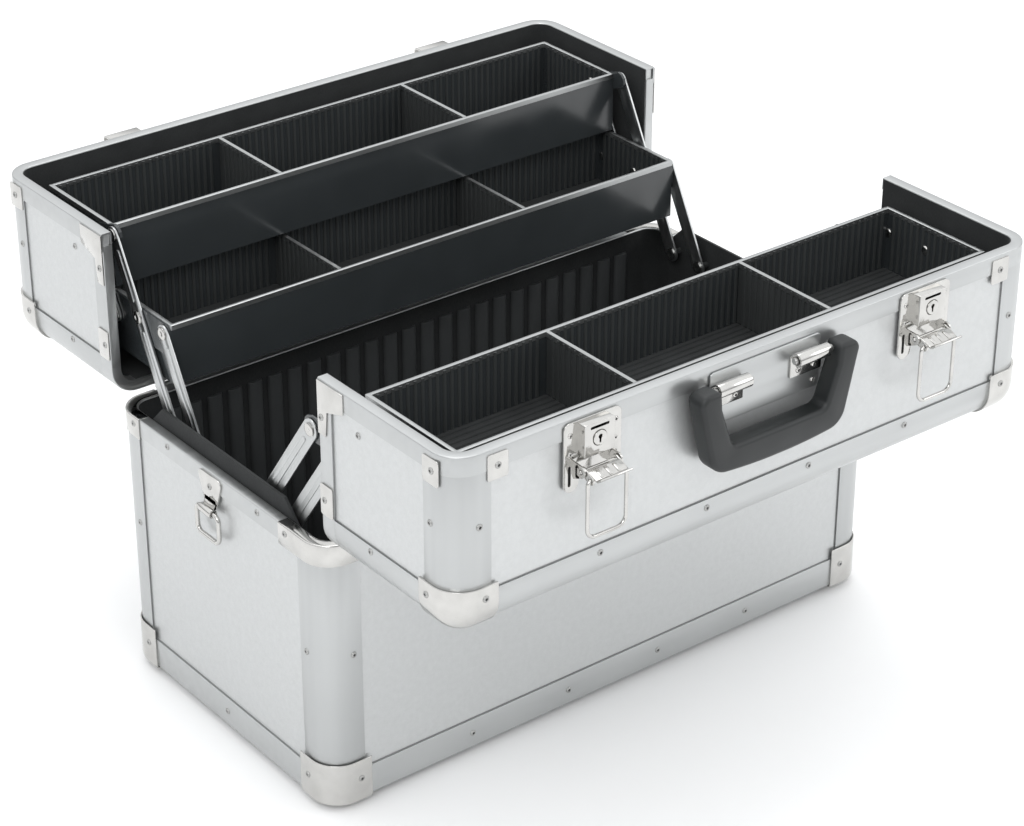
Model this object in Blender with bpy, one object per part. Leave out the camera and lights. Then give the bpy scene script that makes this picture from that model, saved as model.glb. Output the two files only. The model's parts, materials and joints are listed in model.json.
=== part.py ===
"""Aluminium cosmetics train case with two swing-out lids and three cantilever trays, shown fully open.

The case is a base box whose two half lids hinge on its long top edges and lie open at a right angle.
Flat steel arms carry one tray into the front lid and two stepped trays into the back lid.
X runs along the case, Y from front to back and Z up. The origin is the centre of the base's underside.
"""

import math

import bmesh
import bpy
from mathutils import Vector

MM = 0.001
GAP = 0.3 * MM  # clearance between pieces that touch
WELD = 0.002 * MM  # points closer than this are one point

# Case envelope
HALF_X = 220 * MM
HALF_Y = 113 * MM
BASE_TOP = 181 * MM
LID_DEPTH = 123.3 * MM
EDGE_RADIUS = 18 * MM
STRIP_REACH = 26 * MM  # how far an edge profile covers the panels, from the sharp corner
ARC_STEPS = 4

# Sheet stock
PROFILE_T = 1.0 * MM
PANEL_T = 4.7 * MM  # board, aluminium skin and lining together
PANEL_OUT = PROFILE_T + GAP
PANEL_IN = PANEL_OUT + PANEL_T
RIM_BAND = 12 * MM
RIM_LIP = 8 * MM
RIM_WIDTH = PANEL_IN + GAP + PROFILE_T
FLOOR_T = 3.5 * MM
FOOT_FLANGE = 21 * MM
FOOT_LIP = 15 * MM
SEAT = 0.1 * MM  # how far an extrusion sits inside the piece it is joined to
LAP = 5 * MM  # how far joined extrusions run under each other

# Lid hinges, a piano hinge along each long top edge
HINGE_OFFSET = 2.0 * MM
HINGE_Y = HALF_Y + HINGE_OFFSET
LID_FREE_EDGE = HINGE_Y - 0.3 * MM
KNUCKLE_R = 1.7 * MM
KNUCKLE_BORE = 1.0 * MM
HINGE_PIN_R = 0.7 * MM
LEAF_T = 0.7 * MM
LEAF_DEPTH = 1.0 * MM
LEAF_START = 2.1 * MM
LEAF_REACH = 15 * MM
KNUCKLE_COUNT = 9
HINGE_HALF_LENGTH = 189 * MM

# Trays: outward distance is measured from the hinge axis, height from the top of the base
TRAY_HALF_X = 200.5 * MM
TRAY_WALL = 2.0 * MM
TRAY_FLOOR = 2.0 * MM
DIVIDER_X = 74 * MM
DIVIDER_T = 1.6 * MM
FRONT_TRAY = ((18.3 * MM, 62.1 * MM), (101.0 * MM, 104.7 * MM))
MIDDLE_TRAY = ((-43.0 * MM, 23.2 * MM), (35.0 * MM, 64.0 * MM))
UPPER_TRAY = ((20.9 * MM, 65.9 * MM), (97.5 * MM, 107.5 * MM))

# Arms: pivots as (distance from the case's centre plane, height above the top of the base)
FRONT_ARM_WIDTH = 13 * MM
BACK_ARM_WIDTH = 11 * MM
FRONT_BASE_PIVOT = (36 * MM, -6.5 * MM)
FRONT_TRAY_PIVOT = (88 * MM, 65.5 * MM)
FRONT_ARM_SPACING = (30 * MM, 0)
BACK_ARM_SPACING = (-28 * MM, 0)
BACK_BASE_PIVOT = (72 * MM, -6.5 * MM)
MIDDLE_PIVOT = (106 * MM, 57.5 * MM)
UPPER_PIVOT_ALONG = 52.6 * MM  # from the middle tray's pivot, on along the long arm
LINK_OFFSET = (28 * MM, -8.5 * MM)  # the levelling link, beside the long arm's upper stretch
PIVOT_R = 2.2 * MM
PIVOT_HOLE_R = 2.55 * MM
PIVOT_HEAD_R = 4.0 * MM
HEAD_T = 0.6 * MM

# Layers along X between the tray ends and the end walls
BACK_BRACKET_X = (200.0 * MM, 202.0 * MM)
BACK_ARM_X = (202.3 * MM, 203.7 * MM)
FRONT_BRACKET_X = (205.4 * MM, 206.6 * MM)
FRONT_ARM_X = (206.9 * MM, 208.3 * MM)
MOUNT_PLATE_X = (210.4 * MM, 212.1 * MM)

# Corner guards
GUARD_REACH = 30 * MM
GUARD_HEIGHT = 27 * MM
GUARD_SEAT = 0.5 * MM

# Latches and catches
LATCH_X = 126 * MM
PLATE_T = 1.2 * MM
PLATE_BACK = LID_DEPTH + GAP
PLATE_FRONT = PLATE_BACK + PLATE_T
LATCH_PIVOT = (131 * MM, 85 * MM)
BAIL_PIVOT = (137.5 * MM, 82 * MM)
BAIL_WIRE_R = 1.2 * MM
KEYWAY_HEIGHT = 102 * MM
CYLINDER_R = 4.6 * MM

# Handle
HANDLE_PIVOT = (130.5 * MM, 101.5 * MM)
HANDLE_BACK = 125.6 * MM
HANDLE_FRONT = 139.5 * MM
HANDLE_INNER_X = 45 * MM

# Strap rings
RING_X = HALF_X + 3.6 * MM
RING_Y = 4 * MM
RING_Z = 155.5 * MM
RING_WIRE_R = 1.5 * MM

LEFT_RIGHT = (("left", -1), ("right", 1))


# ---------------------------------------------------------------- mesh helpers


def clear_scene():
    for thing in list(bpy.data.objects):
        bpy.data.objects.remove(thing)


def material(name, colour, roughness, metallic=0.0):
    made = bpy.data.materials.new(name)
    made.use_nodes = True
    shader = made.node_tree.nodes["Principled BSDF"]
    shader.inputs["Base Color"].default_value = (*colour, 1)
    shader.inputs["Roughness"].default_value = roughness
    shader.inputs["Metallic"].default_value = metallic
    return made


def add_object(name, bm):
    """Links a closed mesh as an object, with its faces pointing out."""
    bmesh.ops.recalc_face_normals(bm, faces=bm.faces)
    mesh = bpy.data.meshes.new(name)
    bm.to_mesh(mesh)
    bm.free()
    piece = bpy.data.objects.new(name, mesh)
    bpy.context.scene.collection.objects.link(piece)
    return piece


def finish_piece(name, bm, look, origin=(0, 0, 0)):
    """Turns the mesh into one named object whose origin is the given point."""
    bmesh.ops.translate(bm, verts=bm.verts, vec=-Vector(origin))
    piece = add_object(name, bm)
    piece.location = origin
    piece.data.materials.append(look)
    piece.data.shade_smooth()
    piece.data.set_sharp_from_angle(angle=math.radians(35))
    return piece


def finish_joined(name, solids, look, origin=(0, 0, 0)):
    """Unites overlapping solids into one named piece."""
    body = add_object(name + "_body", solids[0])
    others = bpy.data.collections.new(name + "_others")
    for solid in solids[1:]:
        others.objects.link(add_object(name + "_other", solid))
    change = body.modifiers.new("join", "BOOLEAN")
    change.operation = "UNION"
    change.solver = "EXACT"
    change.operand_type = "COLLECTION"
    change.collection = others
    bpy.context.view_layer.update()
    bm = bmesh.new()
    bm.from_object(body, bpy.context.evaluated_depsgraph_get())
    bmesh.ops.remove_doubles(bm, verts=bm.verts, dist=WELD)
    bmesh.ops.dissolve_degenerate(bm, edges=bm.edges, dist=WELD)
    for used in (body, *others.objects):
        bpy.data.objects.remove(used)
    bpy.data.collections.remove(others)
    return finish_piece(name, bm, look, origin)


def box(place, low, high):
    bm = bmesh.new()
    corners = [(x, y, z) for x in (low[0], high[0]) for y in (low[1], high[1]) for z in (low[2], high[2])]
    v = [bm.verts.new(place(*c)) for c in corners]
    for ring in ((0, 1, 3, 2), (4, 6, 7, 5), (0, 4, 5, 1), (2, 3, 7, 6), (0, 2, 6, 4), (1, 5, 7, 3)):
        bm.faces.new([v[i] for i in ring])
    return bm


def prism(place, outline, low, high, holes=()):
    """Extrudes an outline, with holes, between two depths. place takes (u, v, depth)."""
    bm = bmesh.new()
    for loop in (outline, *holes):
        ring = [bm.verts.new(place(u, v, low)) for u, v in loop]
        for i, vert in enumerate(ring):
            bm.edges.new((vert, ring[i - 1]))
    bmesh.ops.triangle_fill(bm, edges=bm.edges[:], use_beauty=True, use_dissolve=False)
    grown = bmesh.ops.extrude_face_region(bm, geom=bm.faces[:], use_keep_orig=True)
    moved = [g for g in grown["geom"] if isinstance(g, bmesh.types.BMVert)]
    bmesh.ops.translate(bm, verts=moved, vec=place(0, 0, high) - place(0, 0, low))
    return bm


def sweep(rings, closed):
    """Joins rings of points, one ring for each corner of the section, into a solid."""
    bm = bmesh.new()
    grid = [[bm.verts.new(p) for p in ring] for ring in rings]
    for k, ring in enumerate(grid):
        before = grid[k - 1]
        for i in range(0 if closed else 1, len(ring)):
            bm.faces.new((before[i - 1], before[i], ring[i], ring[i - 1]))
    if not closed:
        for end in (0, -1):
            bm.faces.new([ring[end] for ring in grid])
    return bm


def stacked(rings):
    """Joins rings one above the other, closed at the first and the last."""
    bm = bmesh.new()
    grid = [[bm.verts.new(p) for p in ring] for ring in rings]
    for low, high in zip(grid, grid[1:]):
        for i in range(len(low)):
            bm.faces.new((low[i - 1], low[i], high[i], high[i - 1]))
    bm.faces.new(grid[0])
    bm.faces.new(grid[-1])
    return bm


def lathe(place, profile, sides=10):
    """Turns (radius, depth) points about the depth axis. place takes (u, v, depth)."""
    return stacked([[place(u, v, depth) for u, v in circle(0, 0, radius, sides)] for radius, depth in profile])


def wire(points, normal, radius, closed, sides=8):
    """A round wire along a flat path whose plane has the given normal."""
    count = len(points)
    rings = []
    for k in range(sides):
        turn = math.tau * k / sides
        ring = []
        for i, point in enumerate(points):
            ahead = points[(i + 1) % count] if closed or i + 1 < count else point
            behind = points[i - 1] if closed or i > 0 else point
            across = (ahead - behind).normalized().cross(normal)
            ring.append(point + radius * (math.cos(turn) * across + math.sin(turn) * normal))
        rings.append(ring)
    return sweep(rings, closed)


# ---------------------------------------------------------------- places


def in_case(x, y, z):
    return Vector((x, y, z))


def in_lid(side):
    """Maps (along, outward from the hinge, up from the hinge) of the front (-1) or back (+1) lid."""
    return lambda x, out, up: Vector((x, side * (HINGE_Y + out), BASE_TOP + up))


def across_lid(side, x0=0.0, mirror=1):
    """The same, for sections in (outward, up) that are extruded along the case from x0."""
    return lambda out, up, x: Vector((mirror * (x0 + x), side * (HINGE_Y + out), BASE_TOP + up))


def on_lid_face(side, x0=0.0):
    """The same, for outlines in (along, up) that are extruded outward."""
    return lambda x, up, out: Vector((x0 + x, side * (HINGE_Y + out), BASE_TOP + up))


def at_end(side, end):
    """Maps (distance from the centre plane, height above the base, along) at one end of the case."""
    return lambda y, up, x: Vector((end * x, side * y, BASE_TOP + up))


# ---------------------------------------------------------------- outlines


def circle(u, v, radius, sides=10):
    turns = (math.tau * i / sides for i in range(sides))
    return [(u + radius * math.cos(t), v + radius * math.sin(t)) for t in turns]


def arc(u, v, radius, start, end, steps=ARC_STEPS):
    """Points on an arc between two angles in degrees."""
    turns = [math.radians(start + (end - start) * i / steps) for i in range(steps + 1)]
    return [(u + radius * math.cos(t), v + radius * math.sin(t)) for t in turns]


def rounded_rect(u0, v0, u1, v1, radius, steps=3):
    corners = ((u1, v1, -1, -1), (u0, v1, 1, -1), (u0, v0, 1, 1), (u1, v0, -1, 1))
    outline = []
    for i, (u, v, du, dv) in enumerate(corners):
        outline += arc(u + du * radius, v + dv * radius, radius, 90 * i, 90 * (i + 1), steps)
    return outline


def bar_outline(start, end, width, steps=5):
    """A flat bar with round ends about two pivots."""
    heading = math.degrees(math.atan2(end[1] - start[1], end[0] - start[0]))
    return (arc(*end, width / 2, heading - 90, heading + 90, steps)
            + arc(*start, width / 2, heading + 90, heading + 270, steps))


def mirrored(outline):
    """The outline on the other side of u = 0, in the order that carries on from it."""
    return [(-u, v) for u, v in reversed(outline)]


def corner_section(reach):
    """Section of an edge extrusion, measured inward from the sharp corner along both faces."""
    centre, outer, inner = EDGE_RADIUS, SEAT, PROFILE_T - SEAT
    return ([(reach, outer)] + arc(centre, centre, centre - outer, 270, 180) + [(outer, reach)]
            + [(inner, reach)] + arc(centre, centre, centre - inner, 180, 270) + [(reach, inner)])


def rounded_loop(inset):
    """The case's plan outline, moved inward by the inset."""
    return rounded_rect(inset - HALF_X, inset - HALF_Y, HALF_X - inset, HALF_Y - inset,
                        EDGE_RADIUS - inset, ARC_STEPS)


def lid_track(start, far, inset):
    """A path up one end, along the lid and down the other end, moved inward by the inset."""
    toward = 1 if far > start else -1
    centre_x, centre_v = HALF_X - EDGE_RADIUS, far - toward * EDGE_RADIUS
    bend = [(x, centre_v + toward * v) for x, v in arc(-centre_x, 0, EDGE_RADIUS - inset, 180, 90)]
    left = [(inset - HALF_X, start)] + bend
    return left + mirrored(left)


RIM_SECTION = (
    (0, 0),
    (RIM_WIDTH, 0),
    (RIM_WIDTH, RIM_LIP),
    (RIM_WIDTH - PROFILE_T, RIM_LIP),
    (RIM_WIDTH - PROFILE_T, PROFILE_T),
    (PROFILE_T, PROFILE_T),
    (PROFILE_T, RIM_BAND),
    (0, RIM_BAND),
)


# ---------------------------------------------------------------- base


def base_panels(look):
    straight_x, straight_y = HALF_X - EDGE_RADIUS, HALF_Y - EDGE_RADIUS
    top = BASE_TOP - GAP - PROFILE_T - GAP
    finish_piece("base_floor_panel", prism(in_case, rounded_loop(PANEL_IN + GAP), 0, FLOOR_T), look)
    for name, side in (("front", -1), ("back", 1)):
        low, high = sorted((side * (HALF_Y - PANEL_IN), side * (HALF_Y - PANEL_OUT)))
        wall = box(in_case, (-straight_x, low, 0), (straight_x, high, top))
        finish_piece(f"base_{name}_panel", wall, look)
    for name, end in LEFT_RIGHT:
        low, high = sorted((end * (HALF_X - PANEL_IN), end * (HALF_X - PANEL_OUT)))
        wall = box(in_case, (low, -straight_y, 0), (high, straight_y, top))
        finish_piece(f"base_{name}_panel", wall, look)


def ring_of(section):
    """A section of (inset, height) points carried round the case's plan outline."""
    return sweep([[in_case(x, y, z) for x, y in rounded_loop(inset)] for inset, z in section], closed=True)


def corner_path(inset, sx, sy):
    """Plan path of a corner guard, along both faces round one upright corner of the base."""
    bend = arc(HALF_X - EDGE_RADIUS, HALF_Y - EDGE_RADIUS, EDGE_RADIUS - inset, 0, 90)
    path = [(HALF_X - inset, HALF_Y - GUARD_REACH)] + bend + [(HALF_X - GUARD_REACH, HALF_Y - inset)]
    return [(sx * x, sy * y) for x, y in path]


def base_frame(look):
    """The foot angle all round, the four upright corner extrusions and the plated corner guards."""
    under = -PANEL_OUT
    chamfer = 1.5 * MM
    foot = ((0, under + FOOT_FLANGE), (0, under + chamfer), (chamfer, under), (FOOT_LIP, under),
            (FOOT_LIP, -GAP), (PROFILE_T, -GAP), (PROFILE_T, under + FOOT_FLANGE))
    lowest = under - PANEL_OUT
    guard = ((-PANEL_OUT, GUARD_HEIGHT), (-PANEL_OUT, lowest + PANEL_OUT), (0, lowest),
             (FOOT_LIP - MM, lowest), (FOOT_LIP - MM, under + GUARD_SEAT), (GUARD_SEAT, under + GUARD_SEAT),
             (GUARD_SEAT, GUARD_HEIGHT))
    solids = [ring_of(foot)]
    upright_top = BASE_TOP - GAP - RIM_BAND - GAP
    for sx in (-1, 1):
        for sy in (-1, 1):
            solids.append(prism(lambda u, v, z: Vector((sx * (HALF_X - u), sy * (HALF_Y - v), z)),
                                corner_section(STRIP_REACH), FOOT_FLANGE - LAP, upright_top))
            solids.append(sweep([[in_case(x, y, z) for x, y in corner_path(inset, sx, sy)]
                                 for inset, z in guard], closed=False))
    finish_joined("base_frame", solids, look)


def base_rim(look):
    """The channel round the base's mouth, with the two strap-ring brackets riveted to it."""
    solids = [ring_of([(inset, BASE_TOP - GAP - down) for inset, down in RIM_SECTION])]
    knuckle, plate_top = 3.0 * MM, RING_Z + 20 * MM
    back, face = HALF_X - PROFILE_T / 2, HALF_X + PLATE_T
    leave = math.degrees(math.acos((face - RING_X) / knuckle))
    outline = [(back, plate_top), (face, plate_top)]
    outline += arc(RING_X, RING_Z, knuckle, leave, -150, 9) + [(HALF_X + 0.4 * MM, RING_Z + MM)]
    outline += [(HALF_X + 0.4 * MM, RING_Z + 12 * MM), (back, RING_Z + 14.5 * MM)]
    hole = circle(RING_X, RING_Z, RING_WIRE_R + 0.4 * MM)
    for end in (-1, 1):
        solids.append(prism(lambda x, z, y: Vector((end * x, RING_Y + y, z)), outline, -6 * MM, 6 * MM, [hole]))
    finish_joined("base_rim", solids, look)


def rubber_feet(look):
    profile = ((9 * MM, -GAP), (9 * MM, -5 * MM), (7.5 * MM, -7 * MM))
    for end_name, end in LEFT_RIGHT:
        for side_name, side in (("front", -1), ("back", 1)):
            x, y = end * 178 * MM, side * 86 * MM
            foot = lathe(lambda u, v, z: Vector((x + u, y + v, z)), profile, 12)
            finish_piece(f"foot_{side_name}_{end_name}", foot, look)


def strap_ring(name, end, look):
    half, drop, corner = 12 * MM, 19 * MM, 4 * MM
    outline = rounded_rect(RING_Y - half, RING_Z - drop, RING_Y + half, RING_Z, corner)
    points = [Vector((end * RING_X, y, z)) for y, z in outline]
    ring = wire(points, Vector((1, 0, 0)), RING_WIRE_R, closed=True)
    finish_piece(f"strap_ring_{name}", ring, look, (end * RING_X, RING_Y, RING_Z))


# ---------------------------------------------------------------- hinges


def leaf_and_knuckles(place, first, fold, bored):
    """One leaf and its knuckles. fold maps (across, depth) of the leaf into the hinge's section."""
    pitch = 2 * HINGE_HALF_LENGTH / KNUCKLE_COUNT
    far, deep = LEAF_REACH, LEAF_DEPTH + LEAF_T
    leaf = [(LEAF_START, LEAF_DEPTH), (far, LEAF_DEPTH), (far, deep), (LEAF_START, deep)]
    solids = [prism(place, [fold(*p) for p in leaf], -HINGE_HALF_LENGTH, HINGE_HALF_LENGTH)]
    leave = math.degrees(math.asin(LEAF_DEPTH / KNUCKLE_R))
    trim = 0.05 * MM
    rolled = arc(0, 0, KNUCKLE_R, 90, 360 + leave, 10)
    rolled += [(2 * LEAF_START, LEAF_DEPTH + trim), (2 * LEAF_START, deep - trim)]
    holes = [circle(0, 0, KNUCKLE_BORE, 8)] if bored else []
    for i in range(first, KNUCKLE_COUNT, 2):
        low = -HINGE_HALF_LENGTH + pitch * i
        solids.append(prism(place, [fold(*p) for p in rolled], low + GAP, low + pitch - GAP, holes))
    return solids


def hinges(look):
    """Each hinge is a base leaf that holds the pin, and a lid leaf whose knuckles turn on it."""
    for name, side in (("front", -1), ("back", 1)):
        place = across_lid(side)
        origin = (0, side * HINGE_Y, BASE_TOP)
        solids = leaf_and_knuckles(place, 0, lambda across, depth: (-depth, -across), bored=False)
        reach = HINGE_HALF_LENGTH - MM
        solids.append(prism(place, circle(0, 0, HINGE_PIN_R, 8), -reach, reach))
        finish_joined(f"{name}_hinge_base_leaf", solids, look, origin)
        solids = leaf_and_knuckles(place, 1, lambda across, depth: (across, depth), bored=True)
        finish_joined(f"{name}_hinge_lid_leaf", solids, look, origin)


# ---------------------------------------------------------------- lids


def lid_panels(prefix, side, look):
    place = in_lid(side)
    origin = (0, side * HINGE_Y, BASE_TOP)
    floor, face = HINGE_OFFSET, LID_DEPTH
    start = GAP + PROFILE_T + GAP
    top = LID_FREE_EDGE - PROFILE_T - GAP
    straight_x = HALF_X - EDGE_RADIUS
    out_end, up_start = face - EDGE_RADIUS, floor + EDGE_RADIUS
    front = box(place, (-straight_x, face - PANEL_IN, up_start), (straight_x, face - PANEL_OUT, top))
    finish_piece(f"{prefix}_face_panel", front, look, origin)
    shelf = box(place, (-straight_x, start, floor + PANEL_OUT), (straight_x, out_end, floor + PANEL_IN))
    finish_piece(f"{prefix}_side_panel", shelf, look, origin)
    for name, end in LEFT_RIGHT:
        low, high = sorted((end * (HALF_X - PANEL_IN), end * (HALF_X - PANEL_OUT)))
        finish_piece(f"{prefix}_{name}_panel", box(place, (low, start, up_start), (high, out_end, top)), look, origin)


def lid_rims(place):
    """The channel along the free edge and the one along the hinge edge, which meet at the ends."""
    tuck = 0.06 * MM
    free, hinge = [], []
    for inset, down in RIM_SECTION:
        track = lid_track(GAP, LID_DEPTH, inset)
        free.append([place(x, out, LID_FREE_EDGE - down) for x, out in track])
        track = lid_track(LID_FREE_EDGE - RIM_LIP - 0.5 * MM, HINGE_OFFSET, inset + tuck)
        hinge.append([place(x, GAP + down, up) for x, up in track])
    return [sweep(free, closed=False), sweep(hinge, closed=False)]


def ball_corner(end, place):
    """A plated cap round a lid's outer corner: three flat flaps joined by a ball."""
    centre = EDGE_RADIUS
    stops = [centre - GUARD_REACH] + [centre * math.tan(math.radians(45 * i / 2)) for i in range(3)]
    bm = bmesh.new()
    for radius in (centre + PANEL_OUT, centre - GUARD_SEAT):
        for axis in range(3):
            grid = []
            for p in stops:
                row = []
                for q in stops:
                    offset = Vector((0, 0, 0))
                    offset[axis], offset[(axis + 1) % 3], offset[(axis + 2) % 3] = centre, p, q
                    inner = Vector([min(o, 0) for o in offset])
                    at = inner + (offset - inner).normalized() * radius
                    reach = HALF_X - centre
                    row.append(bm.verts.new(place(end * (reach + at.x), LID_DEPTH - centre + at.y,
                                                  HINGE_OFFSET + centre - at.z)))
                grid.append(row)
            for before, row in zip(grid, grid[1:]):
                for i in range(1, len(row)):
                    bm.faces.new((before[i - 1], before[i], row[i], row[i - 1]))
    bmesh.ops.remove_doubles(bm, verts=bm.verts, dist=0.02 * MM)
    bmesh.ops.bridge_loops(bm, edges=[e for e in bm.edges if e.is_boundary])
    return bm


def lid_frame(prefix, side, look):
    """The rounded extrusions, the rim channels and the two ball corners of a lid, riveted together."""
    place = in_lid(side)
    section = corner_section(STRIP_REACH)
    floor, face = HINGE_OFFSET, LID_DEPTH
    under_guard = GUARD_REACH - LAP
    under_rim = GAP + RIM_BAND - LAP
    solids = lid_rims(place)
    long_x = HALF_X - under_guard
    solids.append(prism(lambda u, v, x: place(x, face - u, floor + v), section, -long_x, long_x))
    for end in (-1, 1):
        solids.append(prism(lambda u, v, out: place(end * (HALF_X - u), out, floor + v), section,
                            under_rim, face - under_guard))
        solids.append(prism(lambda u, v, up: place(end * (HALF_X - u), face - v, up), section,
                            floor + under_guard, LID_FREE_EDGE - RIM_BAND + LAP))
        solids.append(ball_corner(end, place))
    finish_joined(f"{prefix}_frame", solids, look, (0, side * HINGE_Y, BASE_TOP))


# ---------------------------------------------------------------- trays and arms


def beside(pivot, offset):
    return (pivot[0] + offset[0], pivot[1] + offset[1])


def upper_pivot():
    """The upper tray's pivot, further along the line of the long arm."""
    along = (Vector(MIDDLE_PIVOT) - Vector(BACK_BASE_PIVOT)).normalized()
    return beside(MIDDLE_PIVOT, along * UPPER_PIVOT_ALONG)


def tray_tub(side, tray_box):
    """An open box with thin walls."""
    place = in_lid(side)
    (out0, up0), (out1, up1) = tray_box
    outer = [(-TRAY_HALF_X, out0), (TRAY_HALF_X, out0), (TRAY_HALF_X, out1), (-TRAY_HALF_X, out1)]
    middle = (out0 + out1) / 2
    inner = [(u - math.copysign(TRAY_WALL, u), v - math.copysign(TRAY_WALL, v - middle)) for u, v in outer]
    levels = ((outer, up0), (outer, up1), (inner, up1), (inner, up0 + TRAY_FLOOR))
    return stacked([[place(x, out, up) for x, out in loop] for loop, up in levels])


def pin(side, end, pivot, low, high, head_low=False):
    """A turned pin through an arm, with its head at the high or the low end."""
    place = at_end(side, end)
    if head_low:
        profile = [(PIVOT_HEAD_R, low), (PIVOT_HEAD_R, low + HEAD_T), (PIVOT_R, low + HEAD_T), (PIVOT_R, high)]
    else:
        profile = [(PIVOT_R, low), (PIVOT_R, high - HEAD_T), (PIVOT_HEAD_R, high - HEAD_T), (PIVOT_HEAD_R, high)]
    return lathe(lambda u, v, x: place(pivot[0] + u, pivot[1] + v, x), profile)


def tray(name, side, tray_box, outline, pivots, bracket_x, arm_x, look, spacers=()):
    """A tray with the side plates and pins riveted to its ends. The first pivot is the one it turns on."""
    solids = [tray_tub(side, tray_box)]
    head = arm_x[1] + GAP + HEAD_T
    for end in (-1, 1):
        solids.append(prism(at_end(side, end), outline, *bracket_x))
        for spacer in spacers:
            solids.append(prism(at_end(side, end), circle(*spacer, PIVOT_HEAD_R), TRAY_HALF_X - MM, bracket_x[1] - GAP))
        for pivot in pivots:
            solids.append(pin(side, end, pivot, bracket_x[0] + 2 * GAP, head))
    finish_joined(name, solids, look, (0, side * pivots[0][0], BASE_TOP + pivots[0][1]))


def dividers(prefix, side, tray_box, look):
    (out0, up0), (out1, up1) = tray_box
    inset = TRAY_WALL + GAP
    for name, end in LEFT_RIGHT:
        x = end * DIVIDER_X
        plate = box(in_lid(side), (x - DIVIDER_T / 2, out0 + inset, up0 + TRAY_FLOOR + GAP),
                    (x + DIVIDER_T / 2, out1 - inset, up1 - MM))
        finish_piece(f"{prefix}_tray_divider_{name}", plate, look)


def arm_pair(name, side, start, far, width, layer, look, middle=None):
    """The same bar at both ends of the case, turning about its first pivot."""
    holes = [circle(*pivot, PIVOT_HOLE_R) for pivot in (start, far, middle) if pivot]
    origin = (0, side * start[0], BASE_TOP + start[1])
    for end_name, end in LEFT_RIGHT:
        bar = prism(at_end(side, end), bar_outline(start, far, width), *layer, holes)
        finish_piece(f"{name}_{end_name}", bar, look, origin)


def front_linkage(tray_look, arm_look):
    far_base, far_top = beside(FRONT_BASE_PIVOT, FRONT_ARM_SPACING), beside(FRONT_TRAY_PIVOT, FRONT_ARM_SPACING)
    arm_pair("front_rear_arm", -1, FRONT_BASE_PIVOT, FRONT_TRAY_PIVOT, FRONT_ARM_WIDTH, FRONT_ARM_X, arm_look)
    arm_pair("front_fore_arm", -1, far_base, far_top, FRONT_ARM_WIDTH, FRONT_ARM_X, arm_look)
    half = 8 * MM
    outline = rounded_rect(FRONT_TRAY_PIVOT[0] - half, FRONT_TRAY_PIVOT[1] - half,
                           far_top[0] + 36 * MM, FRONT_TRAY_PIVOT[1] + half, half - MM)
    spacers = [beside(far_top, (20 * MM, 0)), beside(far_top, (29.5 * MM, 0))]
    tray("front_tray", -1, FRONT_TRAY, outline, [FRONT_TRAY_PIVOT, far_top], FRONT_BRACKET_X, FRONT_ARM_X,
         tray_look, spacers)


def back_linkage(tray_look, arm_look):
    long_top = upper_pivot()
    short_base, short_top = beside(BACK_BASE_PIVOT, BACK_ARM_SPACING), beside(MIDDLE_PIVOT, BACK_ARM_SPACING)
    link_low, link_high = beside(MIDDLE_PIVOT, LINK_OFFSET), beside(long_top, LINK_OFFSET)
    bars = (("back_long_arm", BACK_BASE_PIVOT, long_top, MIDDLE_PIVOT),
            ("back_short_arm", short_base, short_top, None), ("tray_link", link_low, link_high, None))
    for name, start, far, middle in bars:
        arm_pair(name, 1, start, far, BACK_ARM_WIDTH, BACK_ARM_X, arm_look, middle)
    lower = rounded_rect(short_top[0] - 6 * MM, link_low[1] - 7 * MM, link_low[0] + 8 * MM,
                         short_top[1] + 6 * MM, 5 * MM)
    tray("middle_tray", 1, MIDDLE_TRAY, lower, [MIDDLE_PIVOT, short_top, link_low], BACK_BRACKET_X,
         BACK_ARM_X, tray_look)
    reach = 6.5 * MM
    upper = arc(*long_top, reach, 60, 210, 5) + arc(*link_high, reach, 240, 420, 5)
    tray("upper_tray", 1, UPPER_TRAY, upper, [long_top, link_high], BACK_BRACKET_X, BACK_ARM_X, tray_look)


def arm_mounts(look):
    """A black plate inside each end of the base, on three spacers, with the arms' four lower pins."""
    low, high, chamfer, margin = -44 * MM, 11 * MM, 14 * MM, 12 * MM
    front_pivots = (FRONT_BASE_PIVOT, beside(FRONT_BASE_PIVOT, FRONT_ARM_SPACING))
    back_pivots = (BACK_BASE_PIVOT, beside(BACK_BASE_PIVOT, BACK_ARM_SPACING))
    front, back = -(front_pivots[1][0] + margin), BACK_BASE_PIVOT[0] + margin
    outline = [(front, low), (back, low), (back, high - chamfer), (back - chamfer, high),
               (front + chamfer, high), (front, high - chamfer)]
    inside = MOUNT_PLATE_X[0] + GAP
    for name, end in LEFT_RIGHT:
        place = at_end(1, end)
        solids = [prism(place, outline, *MOUNT_PLATE_X)]
        for y in (-50 * MM, 4 * MM, 58 * MM):
            solids.append(prism(place, circle(y, -30 * MM, 5 * MM), inside, HALF_X - PANEL_IN - GAP))
        for pivot in front_pivots:
            solids.append(pin(-1, end, pivot, FRONT_ARM_X[0] - GAP - HEAD_T, MOUNT_PLATE_X[1] - GAP, head_low=True))
        for pivot in back_pivots:
            solids.append(pin(1, end, pivot, BACK_ARM_X[0] - GAP - HEAD_T, MOUNT_PLATE_X[1] - GAP, head_low=True))
        finish_joined(f"arm_mount_{name}", solids, look)


# ---------------------------------------------------------------- latches, catches, handle


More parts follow.
